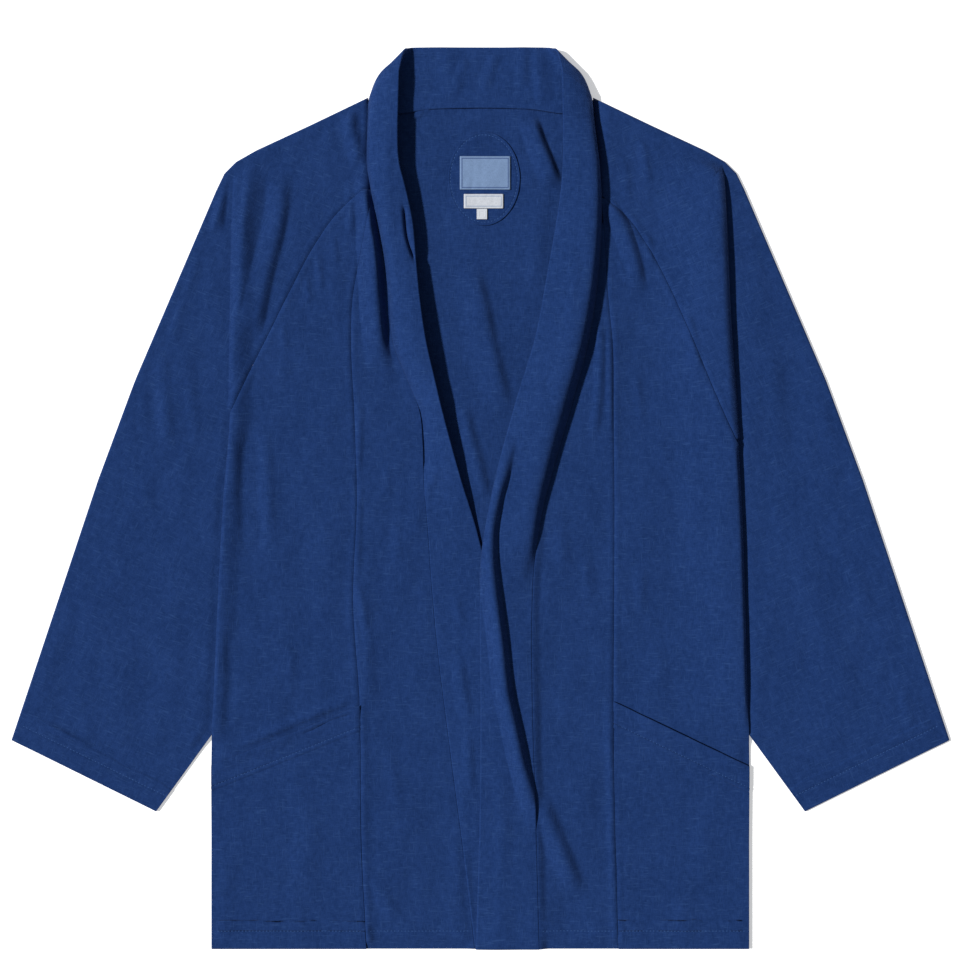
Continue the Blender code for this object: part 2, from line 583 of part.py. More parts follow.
def sleeve_row(side, inner, outer, back, tucked, closed):
    """One ruling of a sleeve: outer-side and inner-side points from front seam round to back seam."""
    inner, outer, back = (np.array(p, float) for p in (inner, outer, back))
    run = outer - inner
    length = np.hypot(*run)
    along = run / length
    places = sleeve_places(side, inner, along, length, closed)
    x = side * (inner[0] + along[0] * places)
    y = inner[1] + along[1] * places

    def height(a, b):
        z = sleeve_height(side, a, b, tucked)
        left = length - ((side * a - inner[0]) * along[0] + (b - inner[1]) * along[1])
        return FRONT_Z + (z - FRONT_Z) * smooth((left - FOLD_RADIUS - CLOTH / 2) / CUFF_FOLD_DIP)

    top_n = normals_of(height, x, y)
    top = np.stack([x, y, height(x, y)], -1)
    centre = inner + along * places[-1]
    middle, normal = [top], [top_n]
    for angle in FOLD_ANGLES:
        s, c = math.sin(math.radians(angle)), math.cos(math.radians(angle))
        n = np.array([side * along[0] * s, along[1] * s, c])
        axis = np.array([side * centre[0], centre[1], (FRONT_Z + FLOOR_Z) / 2])
        middle.append((axis + n * FOLD_RADIUS)[None])
        normal.append(n[None])
    floor = centre[None] + (back - centre)[None] * np.array(FLOOR_SHARES)[:, None]
    middle.append(np.column_stack([side * floor[:, 0], floor[:, 1], np.full(len(floor), FLOOR_Z)]))
    normal.append(np.tile([0.0, 0.0, -1.0], (len(floor), 1)))
    middle, normal = np.vstack(middle), np.vstack(normal)
    outside = middle + normal * CLOTH / 2
    inside = middle - normal * CLOTH / 2
    if closed:
        # the wall goes round the inner fold, so its inner side steps in by a layer
        shift = np.array([side * along[0], along[1], 0.0]) * CLOTH
        inside[0] += shift
        inside[-1] += shift
    return outside, inside


def sleeve_rows(side):
    """Front seam, outer fold and back seam points of each ruling, with whether it is tucked or closed."""
    table = np.array(RULINGS, float)[::-1]
    crossing = CROSSING_Y[side]
    on, under, below = (crossing + mark for mark in SLEEVE_MARKS)
    shared = [y for y in front_levels(side) if y > on + CROSSING_CLEAR]
    hidden = list(np.linspace(below, UNDERARM_Y + UNDERARM_CLEAR[0], HIDDEN_ROWS))
    for y in [RAGLAN_TOP_Y[side]] + shared + [on, under] + hidden:
        back_y, out_x, out_y = (np.interp(y, table[:, 0], table[:, k]) for k in (1, 2, 3))
        if y == RAGLAN_TOP_Y[side]:
            back_y, out_x, out_y = RULINGS[0][1:]
        tucked = y < on
        seam_x = float(raglan[side](y))
        if y < crossing:
            left = smooth((y - UNDERARM_Y) / TUCK_FADE)
            seam_x = float(body_edge[side](y)) - TUCK * left
        yield (seam_x, y), (out_x, out_y), (float(back_raglan(back_y)) + SEAM_GAP / 2, back_y), tucked, False
    arm = (body_edge[side](UNDERARM_Y) + 2 * SEAM_GAP, UNDERARM_Y - UNDERARM_CLEAR[1])
    for share in ARM_SHARES:
        inner = np.array(arm) + (np.array(CUFF_INNER) - arm) * share
        outer = np.array(RULINGS[-1][2:]) + (np.array(CUFF_OUTER) - RULINGS[-1][2:]) * share
        yield inner, outer, inner, False, True


def make_sleeve(side):
    """A raglan sleeve: open along its front and back seams, and a closed tube below the underarm."""
    outside, inside, closed = [], [], []
    for inner, outer, back, tucked, is_closed in sleeve_rows(side):
        a, b = sleeve_row(side, inner, outer, back, tucked, is_closed)
        outside.append(a)
        inside.append(b)
        closed.append(is_closed)
    rows, columns = len(outside), len(outside[0])
    half = rows * columns
    points = np.vstack(outside + inside)

    def at(i, j, layer):
        return layer * half + i * columns + j

    faces = []
    for i in range(rows - 1):
        for j in range(columns - 1):
            faces.append((at(i, j, 0), at(i, j + 1, 0), at(i + 1, j + 1, 0), at(i + 1, j, 0)))
            faces.append((at(i, j, 1), at(i + 1, j, 1), at(i + 1, j + 1, 1), at(i, j + 1, 1)))
        if closed[i]:
            faces.append((at(i, columns - 1, 0), at(i, 0, 0), at(i + 1, 0, 0), at(i + 1, columns - 1, 0)))
            faces.append((at(i, columns - 1, 1), at(i + 1, columns - 1, 1), at(i + 1, 0, 1), at(i, 0, 1)))
        else:
            faces.append((at(i, 0, 0), at(i + 1, 0, 0), at(i + 1, 0, 1), at(i, 0, 1)))
            faces.append((at(i, columns - 1, 0), at(i, columns - 1, 1), at(i + 1, columns - 1, 1),
                          at(i + 1, columns - 1, 0)))
    start = closed.index(True)
    last = columns - 1
    end = rows - 1
    faces.append((at(start, 0, 0), at(start, last, 0), at(start, last, 1), at(start, 0, 1)))
    for j in range(columns - 1):
        faces.append((at(0, j, 0), at(0, j, 1), at(0, j + 1, 1), at(0, j + 1, 0)))
        faces.append((at(end, j, 0), at(end, j + 1, 0), at(end, j + 1, 1), at(end, j, 1)))
    faces.append((at(end, last, 0), at(end, 0, 0), at(end, 0, 1), at(end, last, 1)))
    if side == LEFT:
        faces = [f[::-1] for f in faces]
    make_object(f"sleeve_{NAMES[side]}", points, faces, "indigo_cloth")


def band_tracks():
    """Seam, roll and free edge of the band from the right hem round the neck to the left hem."""
    def front(side):
        columns = [line(BAND_ROWS[side], k) for k in range(1, 7)]
        rows = []
        for y in [*BAND_SHOULDER_LEVELS, *front_levels(side)]:
            seam_x, roll_x, free_x, seam_z, roll_z, free_z = (column(y) for column in columns)
            rows.append([(side * seam_x, y, seam_z), (side * roll_x, y, roll_z), (side * free_x, y, free_z)])
        return rows

    def neck(side):
        return [[(side * x, y, z) for x, y, z in row] for row in BAND_NECK]

    # only the turn round the neck needs points between its rows
    turn = np.array(neck(RIGHT)[:0:-1] + neck(LEFT), float)
    steps = [NECK_STEPS] * (len(turn) - 1)
    turn = np.stack([spline(turn[:, k], steps) for k in range(3)], 1)
    return np.vstack([np.array(front(RIGHT)[::-1], float), turn, np.array(front(LEFT), float)])


def band_section(seam, roll, free, shares):
    """Points across the band: flat out of the seam, over the roll and down to the free edge."""
    top = roll + (free - roll) * 0.5
    lift = min(1.0, max(0.0, (roll[2] - UNDER_BAND_Z) / BAND_CROWN_RISE))
    top[2] += BAND_CROWN * lift
    flat = seam + (seam - roll) * np.array([1.0, 1.0, 0.0]) * BAND_LEAD
    p = [flat, seam, roll, top, free, 2 * free - top]
    out = []
    for share in shares:
        k = min(int(share * 3), 2)
        t = share * 3 - k
        a, b, c, d = p[k:k + 4]
        out.append(0.5 * (2 * b + (c - a) * t + (2 * a - 5 * b + 4 * c - d) * t ** 2
                          + (3 * b - a - 3 * c + d) * t ** 3))
    return np.array(out)


def make_collar():
    grid = np.array([band_section(seam, roll, free, BAND_COLUMNS) for seam, roll, free in band_tracks()])
    x, y = grid[..., 0], grid[..., 1]
    on_left = np.arange(len(grid))[:, None] * 2 > len(grid)
    grid[..., 2] += np.where(on_left & (y < CENTRE_TOP_Y[LEFT]), crease_height(CREASES[LEFT], x, y), 0)
    down = np.gradient(grid, axis=0)
    across = np.gradient(grid, axis=1)
    normals = np.cross(across, down)
    # the seam edge stays upright, so that it keeps its gap to the panels
    normals[:, 0] = np.array([0.0, 0.0, 1.0]) * np.sign(normals[:, 0, 2:])
    normals /= np.linalg.norm(normals, axis=-1, keepdims=True)
    wall("collar", grid, normals, BAND, "indigo_band", turned=True)


def trim_points(plan, layer):
    """Undersides of a patch or label that lies so many layers above the back."""
    x, y = plan[:, 0], plan[:, 1]
    z = back_height(x, y) + CLOTH / 2 + REST_GAP + layer * (TRIM + REST_GAP)
    return np.column_stack([x, y, z])


def make_patch():
    """Oval patch on the inside of the back neck: rings of points from the back's own height, moved out."""
    turns = 2 * math.pi * np.arange(PATCH_SIDES) / PATCH_SIDES
    circle = np.column_stack([np.cos(turns), np.sin(turns)])
    rings = [np.array(PATCH_CENTRE) + circle * PATCH_HALF * ring for ring in PATCH_RINGS]
    plan = np.vstack([*rings, PATCH_CENTRE])
    bottom = trim_points(plan, 0)
    top = bottom + np.array([0, 0, TRIM])
    half = len(plan)
    inmost = (len(PATCH_RINGS) - 1) * PATCH_SIDES
    faces = []
    for k in range(PATCH_SIDES):
        n = (k + 1) % PATCH_SIDES
        for a in range(0, inmost, PATCH_SIDES):
            b = a + PATCH_SIDES
            faces.append((a + k, a + n, b + n, b + k))
            faces.append((half + a + k, half + b + k, half + b + n, half + a + n))
        faces.append((inmost + k, inmost + n, half - 1))
        faces.append((half + inmost + k, 2 * half - 1, half + inmost + n))
        faces.append((k, half + k, half + n, n))
    make_object("neck_patch", np.vstack([top, bottom]), faces, "indigo_cloth")


def make_label(name, centre_x, centre_y, width, height, material):
    columns, rows = LABEL_GRID
    x = centre_x + width * np.linspace(-0.5, 0.5, columns)
    y = centre_y + height * np.linspace(0.5, -0.5, rows)
    plan = np.stack(np.meshgrid(x, y), -1).reshape(-1, 2)
    middle = trim_points(plan, 1).reshape(rows, columns, 3) + np.array([0, 0, TRIM / 2])
    normals = np.tile([0.0, 0.0, 1.0], (rows, columns, 1))
    wall(name, middle, normals, TRIM, material)


def main():
    clear_scene()
    make_back()
    for side in (RIGHT, LEFT):
        make_sleeve(side)
        make_front_side(side)
        make_front_centre(side)
        make_pocket(side)
    make_collar()
    make_patch()
    for label in LABELS:
        make_label(*label)


main()
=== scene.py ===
# %% [markdown]
# A kimono jacket laid flat: raglan sleeves, two-panel fronts with slanted pockets, and one long shawl band.
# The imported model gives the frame: every piece here lies on the form of its own solid, as a thinner, finer
# shell of cloth. Sizes are millimetres until a mesh is made, because a pattern cutter thinks in them.

# %% Load the frame
import math

import bpy
import numpy as np
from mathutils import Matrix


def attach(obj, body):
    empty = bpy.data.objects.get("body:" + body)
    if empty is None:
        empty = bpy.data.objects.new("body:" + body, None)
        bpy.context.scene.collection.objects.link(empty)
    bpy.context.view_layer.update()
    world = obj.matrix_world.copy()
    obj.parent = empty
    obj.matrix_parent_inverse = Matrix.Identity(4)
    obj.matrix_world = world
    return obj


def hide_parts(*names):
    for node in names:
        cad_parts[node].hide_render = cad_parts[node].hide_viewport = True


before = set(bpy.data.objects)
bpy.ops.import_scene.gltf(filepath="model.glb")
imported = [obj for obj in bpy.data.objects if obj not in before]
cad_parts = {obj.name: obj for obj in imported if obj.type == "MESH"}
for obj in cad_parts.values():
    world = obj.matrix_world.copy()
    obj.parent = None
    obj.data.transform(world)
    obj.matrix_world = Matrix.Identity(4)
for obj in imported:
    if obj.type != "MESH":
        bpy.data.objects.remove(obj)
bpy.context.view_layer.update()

MM = 0.001
RIGHT, LEFT = -1, 1
NAMES = {RIGHT: "right", LEFT: "left"}
print("nodes:", sorted(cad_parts))

# %% [markdown]
# The photograph looks straight down on the garment. A long lens well above the table keeps the raised
# collar from leaning outward, and the frame of 960 pixels spans 912 mm of the table.

# %% Camera over the table
FRAME_WIDTH = 912.0
LENS, SENSOR = 85.0, 36.0
VIEW_CENTRE = (-0.5, 16.6)

camera_data = bpy.data.cameras.new("camera")
camera_data.lens = LENS
camera_data.sensor_width = SENSOR
camera = bpy.data.objects.new("camera", camera_data)
bpy.context.scene.collection.objects.link(camera)
camera.location = (VIEW_CENTRE[0] * MM, VIEW_CENTRE[1] * MM, FRAME_WIDTH * MM * LENS / SENSOR)
bpy.context.scene.camera = camera
print("camera height", round(camera.location.z, 3), "m")

# %% [markdown]
# The studio light is one large soft lamp from the upper left and a bright room. The lamp is low enough for
# the raised edges of the cloth to throw the dark strips that show beside the collar and the body's side.

# %% Light, room and floor
LAMP_ELEVATION = math.radians(48)
LAMP_FROM = math.radians(173)        # direction that the light comes from, counted from +X
LAMP_STRENGTH = 3.9
LAMP_SOFTNESS = math.radians(4)
ROOM_STRENGTH = 0.2
FLOOR_SIZE = 8.0
TABLE_GLOW = 0.42                   # a lit table keeps the shadow beside the garment pale

lamp_data = bpy.data.lights.new("soft_lamp", "SUN")
lamp_data.energy = LAMP_STRENGTH
lamp_data.angle = LAMP_SOFTNESS
lamp = bpy.data.objects.new("soft_lamp", lamp_data)
bpy.context.scene.collection.objects.link(lamp)
lamp.rotation_euler = (0, math.pi / 2 - LAMP_ELEVATION, LAMP_FROM)

room = bpy.data.worlds.new("room")
bpy.context.scene.world = room
room.use_nodes = True
room.node_tree.nodes["Background"].inputs["Color"].default_value = (0.93, 0.96, 1.0, 1.0)
room.node_tree.nodes["Background"].inputs["Strength"].default_value = ROOM_STRENGTH
bpy.context.scene.view_settings.view_transform = "Standard"

floor_mesh = bpy.data.meshes.new("floor")
half = FLOOR_SIZE / 2
floor_mesh.from_pydata([(-half, -half, 0), (half, -half, 0), (half, half, 0), (-half, half, 0)], [],
                       [(0, 1, 2, 3)])
floor = bpy.data.objects.new("floor", floor_mesh)
bpy.context.scene.collection.objects.link(floor)
floor_paper = bpy.data.materials.new("floor_paper")
floor_paper.use_nodes = True
paper = floor_paper.node_tree.nodes["Principled BSDF"]
paper.inputs["Base Color"].default_value = (0.9, 0.9, 0.9, 1.0)
paper.inputs["Roughness"].default_value = 0.95
paper.inputs["Specular IOR Level"].default_value = 0.1
paper.inputs["Emission Color"].default_value = (1.0, 1.0, 1.0, 1.0)
paper.inputs["Emission Strength"].default_value = TABLE_GLOW
floor_mesh.materials.append(floor_paper)
print("lamp elevation", round(math.degrees(LAMP_ELEVATION)), "degrees")

# %% [markdown]
# The cloth is a slubby plain weave. Its weft has thick places that show as short pale flecks, mostly across
# the garment, and its dye lies unevenly. Many pieces share this, so it is one node group: noise that is
# stretched along the weft makes the flecks, and two finer noises make the threads.

# %% Slub weave as a shader node group
def add_node(tree, kind, **settings):
    node = tree.nodes.new(kind)
    for key, value in settings.items():
        setattr(node, key, value)
    return node


def scaled_noise(tree, vector, scale, detail=2.0):
    """Noise whose grains have a size of their own along each direction of the cloth."""
    stretch = add_node(tree, "ShaderNodeVectorMath", operation="MULTIPLY")
    stretch.inputs[1].default_value = scale
    noise = add_node(tree, "ShaderNodeTexNoise")
    noise.inputs["Scale"].default_value = 1.0
    noise.inputs["Detail"].default_value = detail
    tree.links.new(vector, stretch.inputs[0])
    tree.links.new(stretch.outputs[0], noise.inputs["Vector"])
    return noise.outputs["Fac"]


def math_node(tree, operation, a, b, clamp=False):
    node = add_node(tree, "ShaderNodeMath", operation=operation, use_clamp=clamp)
    for socket, value in zip(node.inputs, (a, b)):
        if isinstance(value, (int, float)):
            socket.default_value = value
        else:
            tree.links.new(value, socket)
    return node.outputs[0]


def ramp(tree, value, low, high):
    node = add_node(tree, "ShaderNodeMapRange")
    node.inputs["From Min"].default_value = low
    node.inputs["From Max"].default_value = high
    tree.links.new(value, node.inputs["Value"])
    return node.outputs[0]


def mix_colour(tree, share, a, b):
    node = add_node(tree, "ShaderNodeMix", data_type="RGBA")
    tree.links.new(share, node.inputs["Factor"])
    tree.links.new(a, node.inputs["A"])
    tree.links.new(b, node.inputs["B"])
    return node.outputs["Result"]


WEFT_SLUB = (105.0, 760.0, 62.0)     # grains per metre along and across the weft
WARP_SLUB = (760.0, 80.0, 60.0)
WEFT_THREAD = (260.0, 1500.0, 260.0)
WARP_THREAD = (1500.0, 260.0, 260.0)
DYE_PATCH = (22.0, 26.0, 22.0)
DYE_GRAIN = (230.0, 150.0, 170.0)
CRINKLE = (95.0, 38.0, 62.0)
CRINKLE_DEPTH = 2.6                  # against the depth of a thread
DYE_PATCH_WEIGHT = 0.5
THREAD_WEIGHT = 0.9
DYE_WEIGHT = 0.9
TONE_RANGE = (1.1, 2.1)              # summed noise that gives the dark and the light dye
WEFT_RANGE = (0.57, 0.76)            # noise at which a slub begins, and at which it is full
WARP_RANGE = (0.6, 0.76)
WARP_WEIGHT = 0.7


def slub_weave_group():
    group = bpy.data.node_groups.new("slub_weave", "ShaderNodeTree")
    face = group.interface
    face.new_socket("Vector", in_out="INPUT", socket_type="NodeSocketVector")
    for name in ("Dark", "Light", "Fleck"):
        face.new_socket(name, in_out="INPUT", socket_type="NodeSocketColor")
    face.new_socket("Flecks", in_out="INPUT", socket_type="NodeSocketFloat")
    face.new_socket("Color", in_out="OUTPUT", socket_type="NodeSocketColor")
    face.new_socket("Height", in_out="OUTPUT", socket_type="NodeSocketFloat")
    inside = add_node(group, "NodeGroupInput")
    out = add_node(group, "NodeGroupOutput")
    vector = inside.outputs["Vector"]
    weft = scaled_noise(group, vector, WEFT_SLUB)
    warp = scaled_noise(group, vector, WARP_SLUB)
    thread_a = scaled_noise(group, vector, WEFT_THREAD)
    thread_b = scaled_noise(group, vector, WARP_THREAD)
    patch = scaled_noise(group, vector, DYE_PATCH, 3.0)
    grain = scaled_noise(group, vector, DYE_GRAIN, 3.0)
    threads = math_node(group, "ADD", thread_a, thread_b)
    dye = math_node(group, "ADD", math_node(group, "MULTIPLY", patch, DYE_PATCH_WEIGHT), grain)
    shade = math_node(group, "ADD", math_node(group, "MULTIPLY", threads, THREAD_WEIGHT),
                      math_node(group, "MULTIPLY", dye, DYE_WEIGHT))
    tone = ramp(group, shade, *TONE_RANGE)
    body = mix_colour(group, tone, inside.outputs["Dark"], inside.outputs["Light"])
    weft_mask = ramp(group, weft, *WEFT_RANGE)
    warp_mask = math_node(group, "MULTIPLY", ramp(group, warp, *WARP_RANGE), WARP_WEIGHT)
    mask = math_node(group, "MAXIMUM", weft_mask, warp_mask)
    flecks = math_node(group, "MULTIPLY", mask, inside.outputs["Flecks"], clamp=True)
    colour = mix_colour(group, flecks, body, inside.outputs["Fleck"])
    group.links.new(colour, out.inputs["Color"])
    crinkle = math_node(group, "MULTIPLY", scaled_noise(group, vector, CRINKLE, 4.0), CRINKLE_DEPTH)
    relief = math_node(group, "ADD", math_node(group, "ADD", threads, mask), crinkle)
    group.links.new(relief, out.inputs["Height"])
    return group


slub_weave = slub_weave_group()
print("slub weave nodes:", len(slub_weave.nodes))

# %% [markdown]
# Each cut piece has its own grain: the weft runs across the body and across each sleeve. The sleeves hang
# at an angle, so their material turns the coordinates by that angle. The indigo is matte with a slight nap,
# which is the shader's sheen.

# %% Cloth materials
INDIGO_DARK = (0.0040, 0.0205, 0.0900, 1.0)
INDIGO_LIGHT = (0.0135, 0.0425, 0.1580, 1.0)
INDIGO_FLECK = (0.0270, 0.0700, 0.2050, 1.0)
THREAD_BUMP = 0.00022
FLECK_SHARE = 0.5


def cloth_material(name, grain_degrees=0.0, tone=1.0):
    material = bpy.data.materials.new(name)
    material.use_nodes = True
    tree = material.node_tree
    shader = tree.nodes["Principled BSDF"]
    shader.inputs["Roughness"].default_value = 0.92
    shader.inputs["Specular IOR Level"].default_value = 0.12
    shader.inputs["Sheen Weight"].default_value = 0.03
    shader.inputs["Sheen Roughness"].default_value = 0.6
    shader.inputs["Sheen Tint"].default_value = (0.5, 0.65, 1.0, 1.0)
    place = add_node(tree, "ShaderNodeTexCoord")
    turn = add_node(tree, "ShaderNodeMapping")
    turn.inputs["Rotation"].default_value = (0, 0, math.radians(grain_degrees))
    weave = add_node(tree, "ShaderNodeGroup", node_tree=slub_weave)
    for socket, colour in (("Dark", INDIGO_DARK), ("Light", INDIGO_LIGHT), ("Fleck", INDIGO_FLECK)):
        weave.inputs[socket].default_value = [c * tone for c in colour[:3]] + [1.0]
    weave.inputs["Flecks"].default_value = FLECK_SHARE
    bump = add_node(tree, "ShaderNodeBump")
    bump.inputs["Strength"].default_value = 0.6
    bump.inputs["Distance"].default_value = THREAD_BUMP
    tree.links.new(place.outputs["Object"], turn.inputs["Vector"])
    tree.links.new(turn.outputs["Vector"], weave.inputs["Vector"])
    tree.links.new(weave.outputs["Color"], shader.inputs["Base Color"])
    tree.links.new(weave.outputs["Height"], bump.inputs["Height"])
    tree.links.new(bump.outputs["Normal"], shader.inputs["Normal"])
    return material


SLEEVE_GRAIN = 21.0
body_cloth = cloth_material("indigo_body")
band_cloth = cloth_material("indigo_band", tone=1.04)
sleeve_cloth = {side: cloth_material(f"indigo_sleeve_{NAMES[side]}", -side * SLEEVE_GRAIN)
                for side in (RIGHT, LEFT)}
print("cloths:", body_cloth.name, band_cloth.name, *[m.name for m in sleeve_cloth.values()])

# %% [markdown]
# The pattern lines come next. They are read down the garment: for each height the distance of the panel
# seam, the raglan seam, the body's side and the band from the centre line. A smooth curve goes through each
# column, so a seam is a function of y that both of its neighbours use.

# %% Sizes of the garment
CLOTH = 1.2            # one layer of cloth
BAND = 2.4             # the collar band is doubled
REST_GAP = 0.3
SEAM_GAP = 0.4
HEM_Y = -428.0
BAND_TOP_Y = 428.0
UNDERARM_Y = -225.0
CUFF_INNER = (307.8, -297.8)
CUFF_OUTER = (445.1, -230.0)
NECK_CORNER = (106.8, 379.5)
BACK_NECK = (80.5, 366.0)
NECK_SEAM_X = 106.2    # where the band's seam meets the neck corner

FLOOR_Z = CLOTH / 2
ON_BACK_Z = CLOTH + REST_GAP + CLOTH / 2
FRONT_Z = 3.4
TUCKED_Z = 2.6
UNDER_BAND_Z = CLOTH + SEAM_GAP + BAND / 2
OVER_BAND_Z = UNDER_BAND_Z + BAND + SEAM_GAP

SEAM_DIP = 9.0
HEM_DIP = 14.0
SIDE_DIP = 12.0
CUFF_FOLD_DIP = 14.0
EDGE_REACH = {RIGHT: 18.0, LEFT: 62.0}     # how far inside the body edge its fold begins to rise
EDGE_CREST = {RIGHT: 4.0, LEFT: 6.0}       # how far inside the edge it is highest
EDGE_SAG = 0.3
EDGE_FOOT = 2.5
EDGE_LIP = {RIGHT: 3.0, LEFT: 4.0}
EDGE_REST_Z = 4.5
TUCK = 6.0
TUCK_FADE = 40.0

BODY_LINES = [
    # y, panel seam right, panel seam left, body edge right, body edge left
    (322, 100.0, 114.0, 231.0, 227.5),
    (290, 103.0, 114.5, 232.5, 229.8),
    (240, 112.0, 118.0, 234.0, 232.3),
    (185, 122.0, 121.5, 235.1, 234.5),
    (150, 123.0, 125.0, 235.8, 236.5),
    (81, 120.0, 126.0, 237.0, 241.5),
    (0, 117.5, 126.8, 243.5, 247.0),
    (-100, 121.0, 126.5, 249.0, 250.5),
    (-192, 115.0, 126.0, 253.0, 253.0),
    (UNDERARM_Y, 114.0, 126.2, 254.6, 254.4),
    (-330, 113.0, 128.0, 255.0, 254.6),
    (HEM_Y, 108.0, 130.6, 255.0, 254.6),
]
RAGLAN_LINES = [
    # y, right, left
    (294, 108.6, 109.0),
    (286, 119.0, 115.6),
    (270, 136.0, 135.0),
    (240, 157.5, 157.5),
    (200, 179.0, 179.0),
    (160, 199.0, 196.5),
    (120, 219.0, 213.0),
    (81, 237.0, 229.5),
    (50, 252.0, 243.8),
]
CROSSING_Y = {RIGHT: 81.0, LEFT: 52.0}
FRONT_TOP_Y = {RIGHT: 291.8, LEFT: 283.5}
CENTRE_TOP_Y = {RIGHT: 285.0, LEFT: 260.0}
RAGLAN_TOP_Y = {RIGHT: 293.0, LEFT: 286.0}
EDGE_LIFTS = [
    # y, how much the fold along the body edge rises, right and left
    (330, 0.0, 0.0),
    (312, 0.5, 6.0),
    (290, 2.5, 10.5),
    (260, 4.4, 12.5),
    (187, 4.6, 13.0),
    (92, 4.4, 11.0),
    (26, 4.0, 8.5),
    (-100, 3.4, 7.5),
    (-190, 3.0, 6.0),
    (-212, 2.4, 3.0),
    (-236, 0.0, 0.0),
]
RULINGS = [
    # y on the front seam, y on the back seam, x and y on the outer fold
    (294, BACK_NECK[1], *NECK_CORNER),
    (262, 326, 162.0, 353.0),
    (228, 290, 213.0, 329.3),
    (205, 266, 232.0, 318.5),
    (188, 248, 243.0, 307.5),
    (170, 230, 250.5, 292.0),
    (81, 120, 328.0, 111.0),
    (-30, -20, 363.0, 16.6),
    (UNDERARM_Y, UNDERARM_Y, 418.0, -148.7),
]
BACK_RAGLAN = [
    # y, distance from the centre line
    (BACK_NECK[1], BACK_NECK[0]),
    (300, 134.0),
    (220, 181.0),
    (120, 218.0),
    (0, 241.0),
    (-120, 251.0),
    (UNDERARM_Y, 254.3),
]
POCKET_INNER_Y = {RIGHT: -197.0, LEFT: -193.3}
POCKET_OUTER_Y = {RIGHT: -254.0, LEFT: -255.0}
print("body length", BAND_TOP_Y - HEM_Y, "mm")

# %% [markdown]
# The band is described by its cross-sections. From the seam it rises over a roll and falls to the free edge,
# high round the neck and flat at the hem. The wearer's left front lies over the right one, so its sections
# lie one band higher where they cross.

# %% Sections of the band
BAND_RIGHT = [
    # y, seam x, roll x, free x, seam z, roll z, free z
    (372, 105.6, 102.0, 76.5, 3.4, 12.5, 18.5),
    (345, 106.7, 103.0, 77.2, 3.4, 13.0, 19.0),
    (316, 107.2, 102.4, 75.8, 3.4, 13.0, 18.0),
    (292, 103.5, 98.0, 69.8, 3.4, 13.0, 16.0),
    (263, 97.8, 92.0, 63.6, 3.2, 13.0, 14.0),
    (225, 91.0, 85.0, 60.0, 3.0, 13.0, 14.8),
    (187, 86.4, 80.5, 56.2, 3.0, 13.0, 17.0),
    (145, 82.0, 75.5, 49.8, 3.2, 12.0, 18.0),
    (112, 69.0, 63.0, 42.2, 3.2, 10.5, 17.0),
    (84, 58.0, 52.0, 35.6, 3.2, 9.0, 16.0),
    (50, 54.4, 45.5, 26.6, 3.1, 7.4, 13.0),
    (17, 53.7, 42.0, 17.4, 3.0, 5.5, 9.5),
    (-31, 49.9, 34.0, 2.6, UNDER_BAND_Z, 3.0, 3.4),
    (-85, 46.1, 28.0, -9.0, UNDER_BAND_Z, UNDER_BAND_Z, UNDER_BAND_Z),
    (-146, 40.4, 22.0, -14.7, UNDER_BAND_Z, UNDER_BAND_Z, UNDER_BAND_Z),
    (-216, 31.8, 13.0, -23.3, UNDER_BAND_Z, UNDER_BAND_Z, UNDER_BAND_Z),
    (-282, 23.3, 5.0, -31.8, UNDER_BAND_Z, UNDER_BAND_Z, UNDER_BAND_Z),
    (-354, 13.8, -4.0, -41.3, UNDER_BAND_Z, UNDER_BAND_Z, UNDER_BAND_Z),
    (HEM_Y, 5.2, -13.0, -49.9, UNDER_BAND_Z, UNDER_BAND_Z, UNDER_BAND_Z),
]
BAND_LEFT = [
    # y, seam x, roll x, free x, seam z, roll z, free z
    (372, 105.8, 102.0, 76.5, 3.4, 12.5, 18.0),
    (345, 108.6, 105.4, 77.0, 3.4, 15.0, 16.5),
    (316, 112.2, 108.6, 76.7, 3.4, 16.5, 15.0),
    (292, 114.0, 109.2, 75.0, 3.4, 17.5, 15.0),
    (263, 114.4, 108.5, 71.0, 3.2, 18.5, 15.0),
    (207, 111.0, 103.5, 61.3, 3.2, 19.5, 16.0),
    (150, 102.5, 93.5, 50.3, 3.2, 20.0, 16.0),
    (93, 88.0, 77.0, 33.0, 3.2, 19.0, 14.0),
    (31, 70.0, 60.0, 16.2, 3.4, 17.0, 11.5),
    (-2, 61.0, 52.0, 8.7, 3.8, 16.0, 9.5),
    (-40, 54.0, 45.5, 2.0, 4.6, 13.5, 7.6),
    (-60, 51.0, 41.0, -0.5, 5.2, 10.0, 7.0),
    (-97, 49.0, 32.0, -1.4, OVER_BAND_Z, 7.0, 6.4),
    (-192, 49.0, 31.0, -0.9, OVER_BAND_Z, 6.2, OVER_BAND_Z),
    (-287, 51.8, 33.0, -1.4, OVER_BAND_Z, OVER_BAND_Z, OVER_BAND_Z),
    (HEM_Y, 55.6, 37.0, -5.2, OVER_BAND_Z, OVER_BAND_Z, OVER_BAND_Z),
]
BAND_NECK = [
    # seam, roll and free edge, each as x, y, z
    ((0, 372.0, BAND / 2), (0, 392, BAND / 2), (0, BAND_TOP_Y, BAND / 2)),
    ((46, 370.8, BAND / 2), (46, 392, BAND / 2), (46, BAND_TOP_Y, BAND / 2)),
    ((80.2, 366.7, BAND / 2), (70, 391, BAND / 2), (62, 427.8, 1.6)),
    ((95, 374.2, BAND / 2), (84, 395, 2.2), (66.5, 426.6, 5.0)),
    ((103.6, 380.6, 2.6), (94.5, 400, 8.0), (71.5, 422.0, 12.5)),
    ((105.8, 372.0, 3.4), (101.8, 382, 12.5), (76.2, 402, 18.5)),
]
BAND_CROWN = 1.6
BAND_ROWS = {RIGHT: BAND_RIGHT, LEFT: BAND_LEFT}
